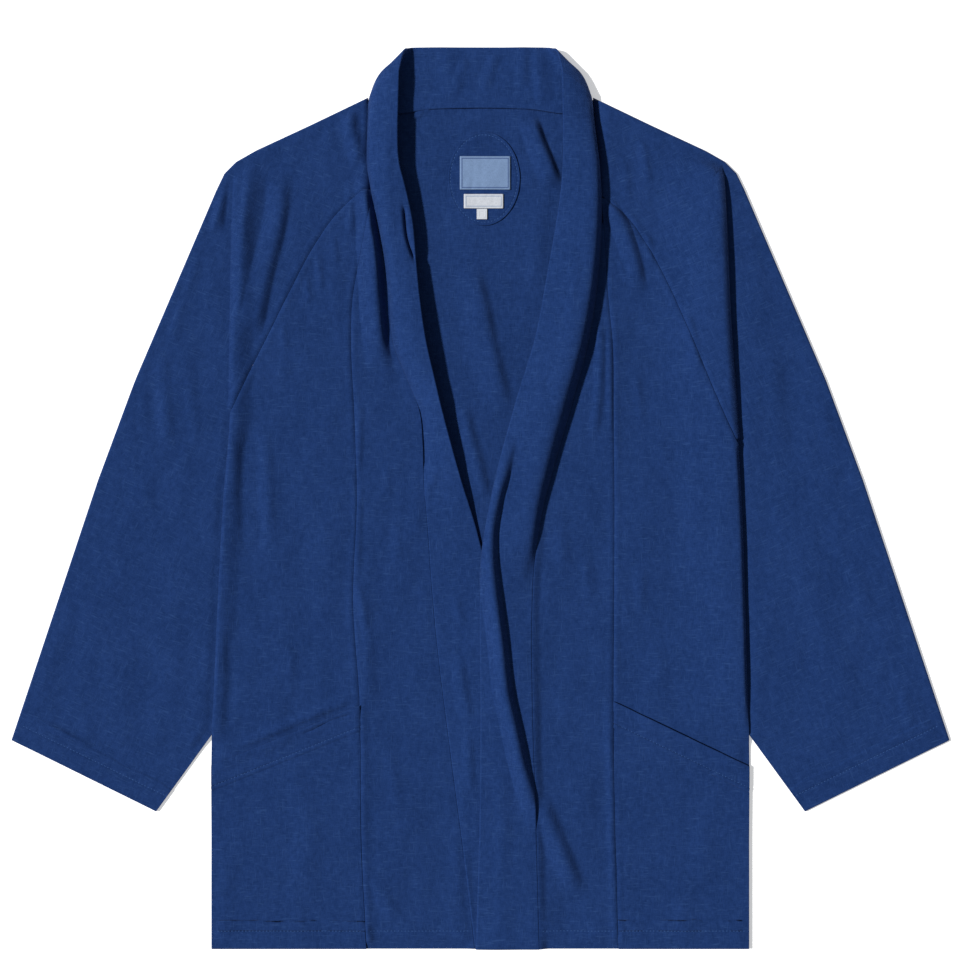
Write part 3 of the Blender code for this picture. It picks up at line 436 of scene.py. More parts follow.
print("band sections:", len(BAND_RIGHT), len(BAND_LEFT), 2 * len(BAND_NECK) - 1)

# %% [markdown]
# The main creases are listed one by one. Each is a crest line with a reach to the west and one to the east:
# a short sharp side throws a dark line, a long soft side only shades. Smaller ones follow the photograph's
# light, such as the long fold that runs down from the crossing of the fronts.

# %% Creases, one by one
CREASES = {
    RIGHT: [
        # crest points from top to bottom, reach west, reach east, height, share of its foot that is sharp
        ([(-107, 318), (-104, 288), (-102, 259), (-101, 226), (-99, 188), (-96, 154), (-90, 112)],
         16.1, 8.5, 10.5, 0.8),
        ([(-125, 381), (-123, 354), (-118, 332), (-112, 314)], 9.5, 7.0, 5, 0.7),
        ([(-188, 317), (-189, 283), (-193, 254), (-200, 226), (-207, 197), (-212, 171), (-217, 150)],
         15.2, 8.5, 5, 0.8),
        ([(-217, 319), (-221, 283), (-224, 245), (-226, 197), (-228, 159)], 8.5, 19, 3.6, 0.2),
        ([(-247, 311), (-249, 283), (-252, 249)], 7.6, 8.5, 4.2, 0.8),
        ([(-124, 305), (-123, 278), (-124, 243)], 5.7, 7.6, 1.8, 0.4),
        ([(-174, 355), (-173, 334)], 5.7, 4.8, 1.3, 0.3),
        ([(-145, 359), (-142, 328)], 6.6, 5.7, 1, 0.2),
        ([(-140, 248), (-136, 222)], 4.8, 3.8, 1, 0.3),
        ([(-155, 235), (-151, 195)], 5.7, 4.8, 1.2, 0.3),
        ([(-166, 210), (-162, 184)], 4.8, 4.8, 1.2, 0.3),
        ([(-189, 163), (-184, 138)], 5.7, 5.7, 1, 0.2),
        ([(-222, 82), (-221, 17), (-218, -21), (-215, -65)], 14, 17, -3.4, 0),
        ([(-239, -118), (-238, -173), (-242, -235)], 6.6, 7.6, -1.1, 0),
        ([(-204, 69), (-202, 17), (-200, -40)], 9.5, 8.5, 1.5, 0),
        ([(-114, 97), (-115, 55), (-118, 19)], 4.8, 5.7, 1, 0.2),
        ([(-117, 9), (-118, -31), (-117, -74)], 5.7, 7.6, 0.9, 0),
        ([(-116, -80), (-113, -102), (-108, -130)], 5.7, 5.7, 1.5, 0.4),
        ([(-111, -78), (-108, -135), (-107, -197)], 6.6, 10.4, 1.1, 0),
        ([(-181, -135), (-180, -192)], 5.7, 6.6, 0.8, 0),
        ([(-88, 36), (-89, -2)], 5.7, 6.6, 0.8, 0),
        ([(-80, -17), (-79, -64)], 6.6, 7.6, 0.9, 0),
        ([(-86, -235), (-82, -268), (-78, -304)], 8.5, 8.5, 1, 0),
        ([(-103, -354), (-92, -380), (-78, -401)], 9.5, 10.4, 1.7, 0.3),
        ([(-109, -403), (-104, -432)], 4.8, 5.7, 1.4, 0.4),
        ([(-171, -249), (-166, -316), (-171, -373)], 20.9, 19, 1, 0),
        ([(-302, 145), (-300, 93), (-297, 43)], 10.4, 9.5, 1.7, 0.2),
        ([(-279, 140), (-274, 93), (-268, 45)], 9.5, 8.5, 1, 0),
        ([(-321, 107), (-317, 55)], 8.5, 9.5, 0.9, 0),
        ([(-270, 262), (-274, 226), (-279, 191)], 7.6, 12.3, 1.5, 0.1),
        ([(-285, 188), (-293, 145)], 9.5, 9.5, 1, 0),
        ([(-342, 100), (-341, 62)], 5.7, 6.6, 1, 0.2),
        ([(-390, -97), (-398, -145)], 13.3, 13.3, 0.9, 0),
        ([(-261, -213), (-280, -242), (-289, -259)], 4.8, 5.7, 1.2, 0.5),
        # along the pocket's opening, and the trough just under it
        ([(-116, -191), (-140, -200), (-165, -210), (-200, -225), (-240, -241)], 9.0, 2.0, 3.2, 0.6),
        ([(-122, -205), (-140, -212), (-172, -225)], 3.0, 3.0, -1.6, 0.4),
        # two folds of the cuff's hem
        ([(-428, -206), (-385, -228), (-345, -248), (-298, -271)], 6.0, 1.6, 2.6, 0.7),
        ([(-394, -233), (-360, -250), (-312, -274)], 4.0, 1.6, 1.6, 0.7),
    ],
    LEFT: [
        ([(30, 66), (25, 45), (20, 21), (14, -2), (9, -31), (9, -61), (13, -97), (18, -135), (23, -181),
          (32, -223), (40, -259), (50, -293), (57, -320)], 11.4, 7.1, 10, 0.9),
        ([(55, -282), (68, -315), (80, -345), (96, -381)], 14.2, 11.0, 4.8, 0.3),
        ([(116, 283), (127, 270), (136, 254), (143, 233), (148, 214), (152, 191)], 11.4, 7.6, 4.6, 0.85),
        ([(152, 343), (156, 321), (159, 298)], 5.7, 4.8, 1.5, 0.5),
        ([(137, 323), (139, 281)], 6.6, 6.6, 1.1, 0.1),
        ([(158, 252), (162, 222)], 4.8, 4.8, 1.1, 0.2),
        ([(131, 226), (140, 203)], 3.8, 2.8, 0.8, 0.4),
        ([(195, 178), (199, 150), (207, 119)], 7.6, 7.6, 1.9, 0.3),
        ([(112, 172), (113, 140), (111, 93), (105, 47)], 5.7, 6.6, 2.1, 0.3),
        ([(122, 159), (123, 112), (123, 55)], 4.8, 3.8, 0.8, 0.2),
        ([(76, -26), (78, -69)], 7.6, 10.4, 1, 0),
        ([(99, -56), (104, -103)], 8.5, 9.5, 0.9, 0),
        ([(152, -64), (152, -111)], 7.6, 8.5, 0.9, 0),
        ([(148, 119), (152, 69)], 6.6, 5.7, 0.8, 0),
        ([(120, -183), (123, -268), (125, -373)], 5.7, 4.8, 0.7, 0),
        ([(199, 55), (203, -21), (199, -97)], 19, 17.1, 1, 0),
        ([(166, -135), (171, -183)], 15.2, 13.3, 0.9, 0),
        ([(209, -306), (212, -373)], 20.9, 19, 0.9, 0),
        ([(90, -135), (87, -211)], 19, 17.1, 0.9, 0),
        ([(269, 159), (281, 93), (288, 26)], 17.1, 15.2, 1, 0),
        ([(315, 26), (340, 17)], 7.6, 7.6, 0.7, 0),
        ([(321, 58), (334, 70)], 4.8, 4.8, 0.7, 0.2),
        ([(304, -59), (328, -135)], 19, 17.1, 0.9, 0),
        ([(309, -262), (324, -289)], 7.6, 4.6, 2.6, 0.5),
        ([(351, -59), (370, -116)], 13.3, 13.3, 0.8, 0),
        ([(399, -183), (410, -221)], 9.5, 9.5, 0.9, 0),
    ],
}
BAND_CREASES = {
    RIGHT: [
        ([(-72.5, 279), (-69.5, 246), (-61, 221)], 3.2, 3.2, -5.5, 0.2),
        # the band lies low along its seam at the chest
        ([(-58, 98), (-54.5, 72), (-53, 45), (-52.5, 20)], 3.0, 5.0, -2.2, 0.5),
        ([(-22, -150), (-17, -183), (-10, -215)], 9.5, 7.6, 1.5, 0.3),
        ([(-12, -223), (-11, -249), (-10, -283)], 7.6, 6.6, 1.3, 0.3),
        ([(-16, -330), (-13, -373), (-10, -411)], 7.6, 6.6, 1.3, 0.3),
        ([(-25, -92), (-18, -122)], 7.6, 7.6, 1, 0.1),
        ([(-39, 32), (-48, 13), (-54, -4)], 5.7, 7.6, 1.3, 0.2),
        ([(-90, 349), (-88, 292), (-84, 245)], 8.5, 8.5, 0.7, 0),
    ],
    LEFT: [
        ([(88, 235), (87, 197), (81, 159)], 8.5, 8.5, 0.8, 0),
        ([(33, 55), (26, 17), (22, -12)], 5.7, 6.6, 0.9, 0),
        ([(19, -249), (21, -316), (19, -382)], 10.4, 11.4, 0.8, 0),
    ],
}
NECK_CREASES = [
    ([(-14, 418), (-24, 383)], 7.6, 6.6, 1.3, 0.1),
    ([(16, 423), (1, 383)], 7.6, 6.6, 1.5, 0.1),
    ([(41, 431), (39, 389)], 6.6, 6.6, 1.3, 0.1),
    ([(53, 429), (57, 372)], 6.6, 15.2, 1.8, 0),
    ([(-31, 429), (-29, 372)], 15.2, 13.3, 1.5, 0),
]
BACK_CREASES = [
    ([(-10, 228), (0, 188), (8, 150), (17, 112), (26, 74)], 24.7, 9.5, 4, 0.3),
    ([(48, 362), (55, 340), (64, 318), (73, 294)], 14.2, 6.8, 6.2, 0.8),
    ([(-19, 93), (-9, 55), (-1, 26), (6, -4)], 9.5, 6.6, 3.2, 0.6),
    ([(57, 294), (54, 245), (50, 197)], 15.2, 15.2, 1.5, 0),
    ([(-68, 358), (-57, 365), (-46, 371)], 2.2, 4.5, 2.4, 0.5),
]
CREASE_FADE = 0.22
print("creases:", {NAMES[side]: len(rows) for side, rows in CREASES.items()})

# %% [markdown]
# Two small tools do all the drawing. One runs a smooth curve through a column of a table, the other runs a
# smooth path through points on the plan. Working with whole arrays keeps thousands of points quick.

# %% Curves through tables
def smooth(t):
    t = np.clip(t, 0.0, 1.0)
    return t * t * (3.0 - 2.0 * t)


def line(rows, column):
    """A smooth function of y through one column of a table whose rows start with y."""
    ordered = sorted((row[0], row[column]) for row in rows)
    ys = np.array([r[0] for r in ordered], float)
    values = np.array([r[1] for r in ordered], float)
    slopes = np.gradient(values, ys)

    def value(y):
        y = np.clip(np.asarray(y, float), ys[0], ys[-1])
        i = np.clip(np.searchsorted(ys, y) - 1, 0, len(ys) - 2)
        step = ys[i + 1] - ys[i]
        t = (y - ys[i]) / step
        rise = values[i + 1] - values[i]
        a = slopes[i] * step - rise
        b = rise - slopes[i + 1] * step
        return values[i] + rise * t + t * (1 - t) * (a * (1 - t) + b * t)

    return value


def curve_point(a, b, c, d, t):
    """The point at share t between b and c of a smooth curve that goes through all four."""
    return 0.5 * (2 * b + (c - a) * t + (2 * a - 5 * b + 4 * c - d) * t ** 2
                  + (3 * b - a - 3 * c + d) * t ** 3)


def spline(points, steps):
    """Points along a smooth curve through the given ones, with so many steps in each span."""
    p = np.array(points, float)
    p = np.vstack([2 * p[0] - p[1], p, 2 * p[-1] - p[-2]])
    out = []
    for i, count in zip(range(1, len(p) - 2), steps):
        for t in np.arange(count) / count:
            out.append(curve_point(*p[i - 1:i + 3], t))
    out.append(p[-2])
    return np.array(out)


panel_seam = {RIGHT: line(BODY_LINES, 1), LEFT: line(BODY_LINES, 2)}
body_edge = {RIGHT: line(BODY_LINES, 3), LEFT: line(BODY_LINES, 4)}
raglan = {RIGHT: line(RAGLAN_LINES, 1), LEFT: line(RAGLAN_LINES, 2)}
back_raglan = line(BACK_RAGLAN, 1)
band_seam = {side: line(BAND_ROWS[side] + [(NECK_CORNER[1], NECK_SEAM_X)], 1) for side in BAND_ROWS}
band_seam_z = {side: line(BAND_ROWS[side], 4) for side in BAND_ROWS}
print("panel seam at the chest:", round(float(panel_seam[RIGHT](150)), 1), "mm from the centre")

# %% [markdown]
# A height map lays the cloth. It starts from the level at which a layer rests and adds the creases, the fold
# along the body's side, the dips to seams and hem, and a faint unevenness that no flat cloth is without.
# Along each seam the cloth dips into the stitching, with small puckers that are never quite regular.

# %% Heights of the cloth
def crease_profile(path, x, y, west, east, sharp):
    """Share of a crease's height at each point: full on its path, with a reach of its own to each side."""
    count = len(path) - 1
    best = np.full(x.shape, 1e9)
    offset = np.zeros(x.shape)
    along = np.zeros(x.shape)
    for i in range(count):
        (ax, ay), (bx, by) = path[i], path[i + 1]
        length = math.hypot(bx - ax, by - ay)
        ux, uy = (bx - ax) / length, (by - ay) / length
        t = np.clip((x - ax) * ux + (y - ay) * uy, 0, length)
        dx, dy = x - ax - ux * t, y - ay - uy * t
        away = np.hypot(dx, dy)
        nearer = away < best
        best = np.where(nearer, away, best)
        offset = np.where(nearer, np.sign(ux * dy - uy * dx) * away, offset)
        along = np.where(nearer, (i + t / length) / count, along)
    share = np.clip(np.where(offset > 0, offset / east, -offset / west), 0, 1)
    soft = np.cos(share * math.pi / 2)
    fade = smooth(along / CREASE_FADE) * smooth((1 - along) / CREASE_FADE)
    return ((1 - sharp) * soft ** 2 + sharp * soft) * fade


def crease_height(creases, x, y):
    """The sum of the creases at each point, worked out only near each crest."""
    x, y = np.asarray(x, float), np.asarray(y, float)
    total = np.zeros(x.shape)
    for points, west, east, height, sharp in creases:
        path = spline(points, [6] * (len(points) - 1))
        low, high = path.min(0) - max(west, east), path.max(0) + max(west, east)
        near = (x > low[0]) & (x < high[0]) & (y > low[1]) & (y < high[1])
        total[near] += height * crease_profile(path, x[near], y[near], west, east, sharp)
    return total


RIPPLE_WAVES = 22
RIPPLE_LENGTH = (14.0, 80.0)
RIPPLE_HEIGHT = 0.16
RIPPLE_TURN = 0.4                  # spread of the waves' directions, in radians
RIPPLE_BEND = (3, 9)
RIPPLE_BEND_LENGTH = (18, 60)


def ripple(x, y, seed):
    """Faint unevenness of cloth that lies flat, stretched along the piece's length."""
    rng = np.random.default_rng(seed)
    total = np.zeros(np.shape(x))
    for _ in range(RIPPLE_WAVES):
        length = rng.uniform(*RIPPLE_LENGTH)
        angle = rng.normal(0.0, RIPPLE_TURN)
        phase = rng.uniform(0, 2 * math.pi)
        bend = rng.uniform(*RIPPLE_BEND)
        k = 2 * math.pi / length
        across = x * math.cos(angle) + y * math.sin(angle)
        down = y * math.cos(angle) - x * math.sin(angle)
        wander = bend * np.sin(down / rng.uniform(*RIPPLE_BEND_LENGTH) + phase)
        height = RIPPLE_HEIGHT * (length / RIPPLE_LENGTH[1]) ** 0.9
        total = total + height * np.cos(k * (across + wander) + phase)
    return total


SEAM_SINK = 0.6
SEAM_SINK_WIDTH = 1.3
SEAM_RIDGE = 0.25
SEAM_RIDGE_AT = 4.0
SEAM_RIDGE_WIDTH = 2.2
PUCKER = 0.14
PUCKER_LENGTH = 11.0
PUCKER_REACH = 5.5
PUCKER_PEAK = 2.5


def seam_dip(distance, along):
    """A stitched seam pulls the cloth down in a narrow line, with a low ridge and puckers beside it."""
    sink = SEAM_SINK * np.exp(-(distance / SEAM_SINK_WIDTH) ** 2)
    ridge = SEAM_RIDGE * np.exp(-((np.abs(distance) - SEAM_RIDGE_AT) / SEAM_RIDGE_WIDTH) ** 2)
    beat = np.sin(along * 2 * math.pi / PUCKER_LENGTH + 1.7 * np.sin(along / 23.0))
    pucker = PUCKER * beat * np.exp(-(distance / PUCKER_REACH) ** 2) * np.abs(distance) / PUCKER_PEAK
    return ridge + pucker - sink


def slanted(distance, curve, y):
    """A distance measured across a seam that runs at a slant, from the distance measured along x."""
    slope = (curve(y + 2) - curve(y - 2)) / 4
    return distance / np.sqrt(1 + slope ** 2)


edge_lift = {RIGHT: line(EDGE_LIFTS, 1), LEFT: line(EDGE_LIFTS, 2)}


def edge_fold(side, x, y):
    """How much the fold along the body's side lifts the cloth at a point."""
    past = np.abs(x) - body_edge[side](y)
    crest, reach = EDGE_CREST[side], EDGE_REACH[side]
    inside = np.cos(np.clip((-crest - past) / reach, 0, 1) * math.pi / 2) ** 2
    over = 1 - EDGE_SAG * np.clip((past + crest) / crest, 0, 1) ** 2
    beyond = (1 - EDGE_SAG) * (1 - smooth(past / EDGE_FOOT))
    return edge_lift[side](y) * np.where(past < -crest, inside, np.where(past < 0, over, beyond))


HEM_LINES = (17.0, 26.0)          # the stitch line and the upper fold of a hem, from its edge
STITCH_SINK = 0.5
STITCH_WIDTH = 0.9
HEM_THICK = 0.8
HEM_STEP = 1.2                     # width over which the hem's upper fold steps down
HEM_WAVE = (0.9, 11.0)             # the upper fold's wave: its height, and millimetres for each radian
HEM_SECOND_WAVE = (0.8, 29.0, 7.0)
HEM_PUCKER = 0.14
HEM_PUCKER_LENGTH = 6.4
HEM_PUCKER_REACH = 3.2


def hem_form(distance, along):
    """A doubled hem: thicker up to its wavy upper fold, with a sunk stitch line and small puckers."""
    height, slow, quick = HEM_SECOND_WAVE
    wave = HEM_WAVE[0] * np.sin(along / HEM_WAVE[1])
    wave = wave + height * np.sin(along / slow + 1.0) * np.sin(along / quick)
    thick = HEM_THICK * (1 - smooth((distance - HEM_LINES[1] + HEM_STEP / 2 + wave) / HEM_STEP))
    beat = np.sin(along * 2 * math.pi / HEM_PUCKER_LENGTH + 1.4 * np.sin(along / 19.0))
    pucker = HEM_PUCKER * beat * np.exp(-((distance - HEM_LINES[0]) / HEM_PUCKER_REACH) ** 2)
    return thick + pucker - STITCH_SINK * np.exp(-((distance - HEM_LINES[0]) / STITCH_WIDTH) ** 2)


SEAM_ENDS = 8.0
REST_EASE = 0.3
RAGLAN_STRETCH = 1.6               # way along the raglan seam for each millimetre of y
HEM_REST = 0.02                    # how far the fade has come at the hem's edge, as a share of HEM_DIP
UNDERARM_FADE = 15.0
BAND_LEVEL = 0.45                  # one layer lies this much higher at the seam, level with the doubled band


def at_rest(z):
    """Heights eased so that a trough ends softly near the layer under it."""
    above = z - ON_BACK_Z
    return ON_BACK_Z + (above + np.sqrt(above ** 2 + REST_EASE ** 2)) / 2


def top_height(side, x, y):
    """Height of the middle of the top layer, sleeve or front, on one side."""
    out = np.abs(x)
    z = FRONT_Z + crease_height(CREASES[side], x, y) + edge_fold(side, x, y)
    z = z + ripple(x, y, 11 + side)
    across = slanted(out - raglan[side](y), raglan[side], y)
    on_raglan = smooth((y - CROSSING_Y[side]) / SEAM_ENDS)
    z = z + seam_dip(across, y * RAGLAN_STRETCH) * on_raglan
    inside = smooth((CENTRE_TOP_Y[side] - y) / SEAM_ENDS)
    z = z + seam_dip(slanted(out - panel_seam[side](y), panel_seam[side], y), y) * inside
    z = at_rest(z + hem_form(y - HEM_Y, x))
    z = ON_BACK_Z + (z - ON_BACK_Z) * smooth((y - HEM_Y) / HEM_DIP + HEM_REST)
    below = smooth((UNDERARM_Y - y) / UNDERARM_FADE)
    settled = ON_BACK_Z + (z - ON_BACK_Z) * smooth((body_edge[side](y) - out) / SIDE_DIP)
    z = z + (settled - z) * below
    seam_z = band_seam_z[side](y) + BAND_LEVEL
    return seam_z + (z - seam_z) * smooth((side * x - band_seam[side](y)) / SEAM_DIP)


LIP_TURN = 0.98
LIP_FADE = (14.0, 20.0)            # the lip begins and ends over these lengths of the edge


def front_height(side, x, y):
    """The front's own height: its side edge turns down over the sleeve below the raglan seam."""
    z = top_height(side, x, y)
    lip = EDGE_LIP[side]
    past = np.clip((side * x - body_edge[side](y) + lip) / lip, 0, 1)
    turned = EDGE_REST_Z + (z - EDGE_REST_Z) * np.sqrt(1 - LIP_TURN * past ** 2)
    below = smooth((CROSSING_Y[side] - y) / LIP_FADE[0]) * smooth((y - UNDERARM_Y) / LIP_FADE[1])
    return z + (np.minimum(turned, z) - z) * below


POCKET_WIDTH = 130.0
POCKET_SINK = 1.3                  # under its pocket the panel lies this much lower
POCKET_EASE = 12.0
POCKET_RISE = 1.0
POCKET_START = 6.0


def opening_share(side, x, y):
    """How far across the outer panel a point lies, from the panel seam to the body's side."""
    seam = panel_seam[side](y)
    return np.clip((side * x - seam) / (body_edge[side](y) - seam), 0, 1)


def below_opening(side, x, y):
    """Distance from the pocket's slanted opening down to a point."""
    inner, outer = POCKET_INNER_Y[side], POCKET_OUTER_Y[side]
    slant = math.atan2(inner - outer, POCKET_WIDTH)
    return (inner + (outer - inner) * opening_share(side, x, y) - y) * math.cos(slant)


def centre_panel_height(side, x, y):
    """The inner panel's height. Beside the pocket its edge rises to the pocket's level."""
    near = 1 - smooth((panel_seam[side](y) - side * x) / POCKET_EASE)
    under = smooth((POCKET_INNER_Y[side] - y) / POCKET_START) * smooth((y - HEM_Y) / HEM_DIP)
    return front_height(side, x, y) + POCKET_RISE * near * under


def side_panel_height(side, x, y):
    """The outer panel's height, lower under the pocket, so that the pocket is level with its neighbour."""
    z = front_height(side, x, y)
    room = smooth((y - HEM_Y) / HEM_DIP) * smooth((body_edge[side](y) - side * x) / SIDE_DIP)
    sunk = z - POCKET_SINK * smooth(below_opening(side, x, y) / POCKET_EASE) * room
    return np.maximum(sunk, np.minimum(z, ON_BACK_Z))


TUCK_START = 0.5
TUCK_RISE = 9.0


def sleeve_height(side, x, y, tucked):
    """The sleeve's top layer. Where it is tucked under the body edge it lies low."""
    z = top_height(side, x, y)
    past = side * x - body_edge[side](y)
    low = TUCKED_Z + (z - TUCKED_Z) * smooth((past - TUCK_START) / TUCK_RISE)
    return np.where(tucked, low, z)


BACK_SHOWS_Y = (-20.0, 40.0)       # the back lies quite flat below the first, and shows above the second
BACK_UNREST = (0.5, 0.8)


def back_height(x, y):
    """Height of the back's middle: flat on the table, with a few folds inside the neck opening."""
    hem = smooth((y - HEM_Y) / HEM_DIP)
    inner = smooth((y - BACK_SHOWS_Y[0]) / (BACK_SHOWS_Y[1] - BACK_SHOWS_Y[0]))
    unrest = np.maximum(ripple(x, y, 3) + BACK_UNREST[0], 0.0) * BACK_UNREST[1]
    return FLOOR_Z + crease_height(BACK_CREASES, x, y) * hem + unrest * inner


def normals_of(height, x, y):
    """Unit normals of a surface given by its height."""
    eps = 0.4
    gx = (height(x + eps, y) - height(x - eps, y)) / (2 * eps)
    gy = (height(x, y + eps) - height(x, y - eps)) / (2 * eps)
    n = np.stack([-gx, -gy, np.ones_like(gx)], -1)
    return n / np.linalg.norm(n, axis=-1, keepdims=True)


chest_level = top_height(LEFT, np.array([180.0]), np.array([0.0]))[0]
print("cloth level on the chest:", round(float(chest_level), 2), "mm")

# %% [markdown]
# Every piece is a wall: a grid of points in the middle of the cloth, moved out by half its thickness to each
# side. Round the edge a third row of points stands a little proud, so the cut edge reads as folded cloth.

# %% Walls of cloth
RIM = 0.45


def rim_loop(rows, columns):
    """Indices of the grid's edge, once round."""
    top = [(0, j) for j in range(columns)]
    right = [(i, columns - 1) for i in range(1, rows)]
    bottom = [(rows - 1, j) for j in range(columns - 2, -1, -1)]
    left = [(i, 0) for i in range(rows - 2, 0, -1)]
    return top + right + bottom + left


def wall_mesh(middle, normals, thickness):
    """Points and faces of a closed wall with a rounded rim."""
    rows, columns = middle.shape[:2]
    outer = (middle + normals * thickness / 2).reshape(-1, 3)
    inner = (middle - normals * thickness / 2).reshape(-1, 3)
    loop = rim_loop(rows, columns)
    i = np.array([p[0] for p in loop])
    j = np.array([p[1] for p in loop])
    inward = middle[np.clip(i, 1, rows - 2), np.clip(j, 1, columns - 2)]
    away = middle[i, j] - inward
    away /= np.linalg.norm(away, axis=1, keepdims=True)
    rim = middle[i, j] + away * thickness * RIM * 0.5
    half = rows * columns
    grid = np.arange(half).reshape(rows, columns)
    a, b, c, d = (grid[:-1, :-1], grid[1:, :-1], grid[1:, 1:], grid[:-1, 1:])
    top = np.stack([a, b, c, d], -1).reshape(-1, 4)
    low = np.stack([a, d, c, b], -1).reshape(-1, 4) + half
    at = i * columns + j
    nxt = np.roll(at, -1)
    ring = 2 * half + np.arange(len(loop))
    ring_next = np.roll(ring, -1)
    upper = np.stack([at, nxt, ring_next, ring], -1)
    lower = np.stack([ring, ring_next, nxt + half, at + half], -1)
    faces = np.vstack([top, low, upper, lower])
    return np.vstack([outer, inner, rim]), faces


def add_mesh(name, points, faces, material):
    mesh = bpy.data.meshes.new(name)
    mesh.from_pydata((points * MM).tolist(), [], faces.tolist() if hasattr(faces, "tolist") else faces)
    mesh.validate()
    mesh.update()
    mesh.materials.append(material)
    mesh.shade_smooth()
    piece = bpy.data.objects.new(name, mesh)
    bpy.context.scene.collection.objects.link(piece)
    return piece


def cut_of(middle):
    """Width, length and area in metres of the flat cut that a grid of cloth was made from."""
    rows = np.linalg.norm(np.diff(middle, axis=1), axis=2).sum(1)
    columns = np.linalg.norm(np.diff(middle, axis=0), axis=2).sum(0)
    a = np.cross(middle[1:, 1:] - middle[:-1, :-1], middle[1:, :-1] - middle[:-1, 1:])
    area = np.linalg.norm(a, axis=2).sum() / 2
    return rows.max() * MM, columns.max() * MM, area * MM * MM


def dress(piece, node, cut):
    """Puts a piece in place of its node and states its cut."""
    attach(piece, "root")
    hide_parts(node)
    width, length, area = cut
    min(area, width * length)
    print(f"{piece.name}: {len(piece.data.polygons)} faces, cut {width:.3f} x {length:.3f} m")


def sheet_piece(name, x, y, height, turned=False, lift=0.0):
    """One layer of the body's cloth over a plan grid, its middle at a given height."""
    normals = normals_of(height, x, y)
    middle = np.stack([x, y, height(x, y)], -1) + normals * lift
    if turned:
        middle, normals = middle[:, ::-1], normals[:, ::-1]
    points, faces = wall_mesh(middle, normals, CLOTH)
    return add_mesh(name, points, faces, body_cloth), middle


def levels(top, bottom, step):
    return np.linspace(top, bottom, max(2, math.ceil((top - bottom) / step)) + 1)


CLOSER = 5.0
CLOSER_REACH = 6.0


def dense(length, spots, count):
    """Places along each row, closer together near the given spots, where the cloth bends sharply."""
    steps = np.linspace(0, 1, 500)[None, :] * length[:, None]
    weight = 1.0 + sum(CLOSER * np.exp(-((steps - spot[:, None]) / CLOSER_REACH) ** 2) for spot in spots)
    total = np.cumsum(weight, 1)
    total = (total - total[:, :1]) / (total[:, -1:] - total[:, :1])
    shares = np.linspace(0, 1, count + 1)
    return np.stack([np.interp(shares, total[i], steps[i]) for i in range(len(length))])


FINE = 2.6
HEM_FINE = 0.9


HEM_TOP_Y = HEM_Y + HEM_LINES[1] + 3     # the closer rows of the hem begin here


def hem_levels(top):
    """Heights of rows down to the hem, closer together where the hem is folded and stitched."""
    upper = levels(top, HEM_TOP_Y, FINE)
    return np.concatenate([upper, levels(upper[-1] - HEM_FINE, HEM_Y, HEM_FINE)])


print("cloth grid:", FINE, "mm")

# %% [markdown]
# The back is one panel that lies flat on the table. Its top follows the neck seam and its sides the back
# raglan seams, then the straight sides down to the hem. Only its inside shows, in the neck opening.

# %% Back panel
BACK_STEP = 3.2
BACK_COLUMNS = 150
BACK_ROWS_TOP = 356.0
NECK_TOP_Y = 371.4                 # the back's top edge at the centre
NECK_DROP = 6.6                    # how much lower it is at its ends
NECK_BOW = 2.4


def back_grid():
    rows = levels(BACK_ROWS_TOP, HEM_Y, BACK_STEP)
    shares = np.linspace(-1, 1, BACK_COLUMNS + 1)
    side_x = np.where(rows > UNDERARM_Y, back_raglan(rows), body_edge[LEFT](rows)) - SEAM_GAP / 2
    x = side_x[:, None] * shares[None, :]
    y = np.repeat(rows[:, None], len(shares), 1)
    neck_x = (BACK_NECK[0] - 1.0) * shares
    neck_y = NECK_TOP_Y - NECK_DROP * np.abs(shares) ** NECK_BOW
    blend = np.array([0.66, 0.33])[:, None]
    x = np.vstack([neck_x, x[0] + (neck_x - x[0]) * blend, x])
    y = np.vstack([neck_y, y[0] + (neck_y - y[0]) * blend, y])
    return x, y


back_x, back_y = back_grid()
back, back_middle = sheet_piece("back_cloth", back_x, back_y, back_height)
dress(back, "back", cut_of(back_middle))

# %% [markdown]
# A raglan sleeve is one cut that goes from the front seam over the shoulder and arm to the back seam. Each
# ruling here is one such line: along the top layer, round the outer fold and back along the table. Above the
# underarm the sleeve is open along its seams, below it the two edges meet and the cloth is a tube.

# %% Rulings of a sleeve
SLEEVE_MARKS = (3.2, 2.4, -6.0)      # rows by the crossing: on the seam, just under it, tucked
TOP_COLUMNS = 118
FOLD_ANGLES = (22.5, 45, 67.5, 90, 112.5, 135, 157.5)
FLOOR_COLUMNS = 24
ARM_SHARES = np.concatenate([np.linspace(0, 0.66, 22), np.linspace(0.67, 1, 34)])   # closer by the cuff


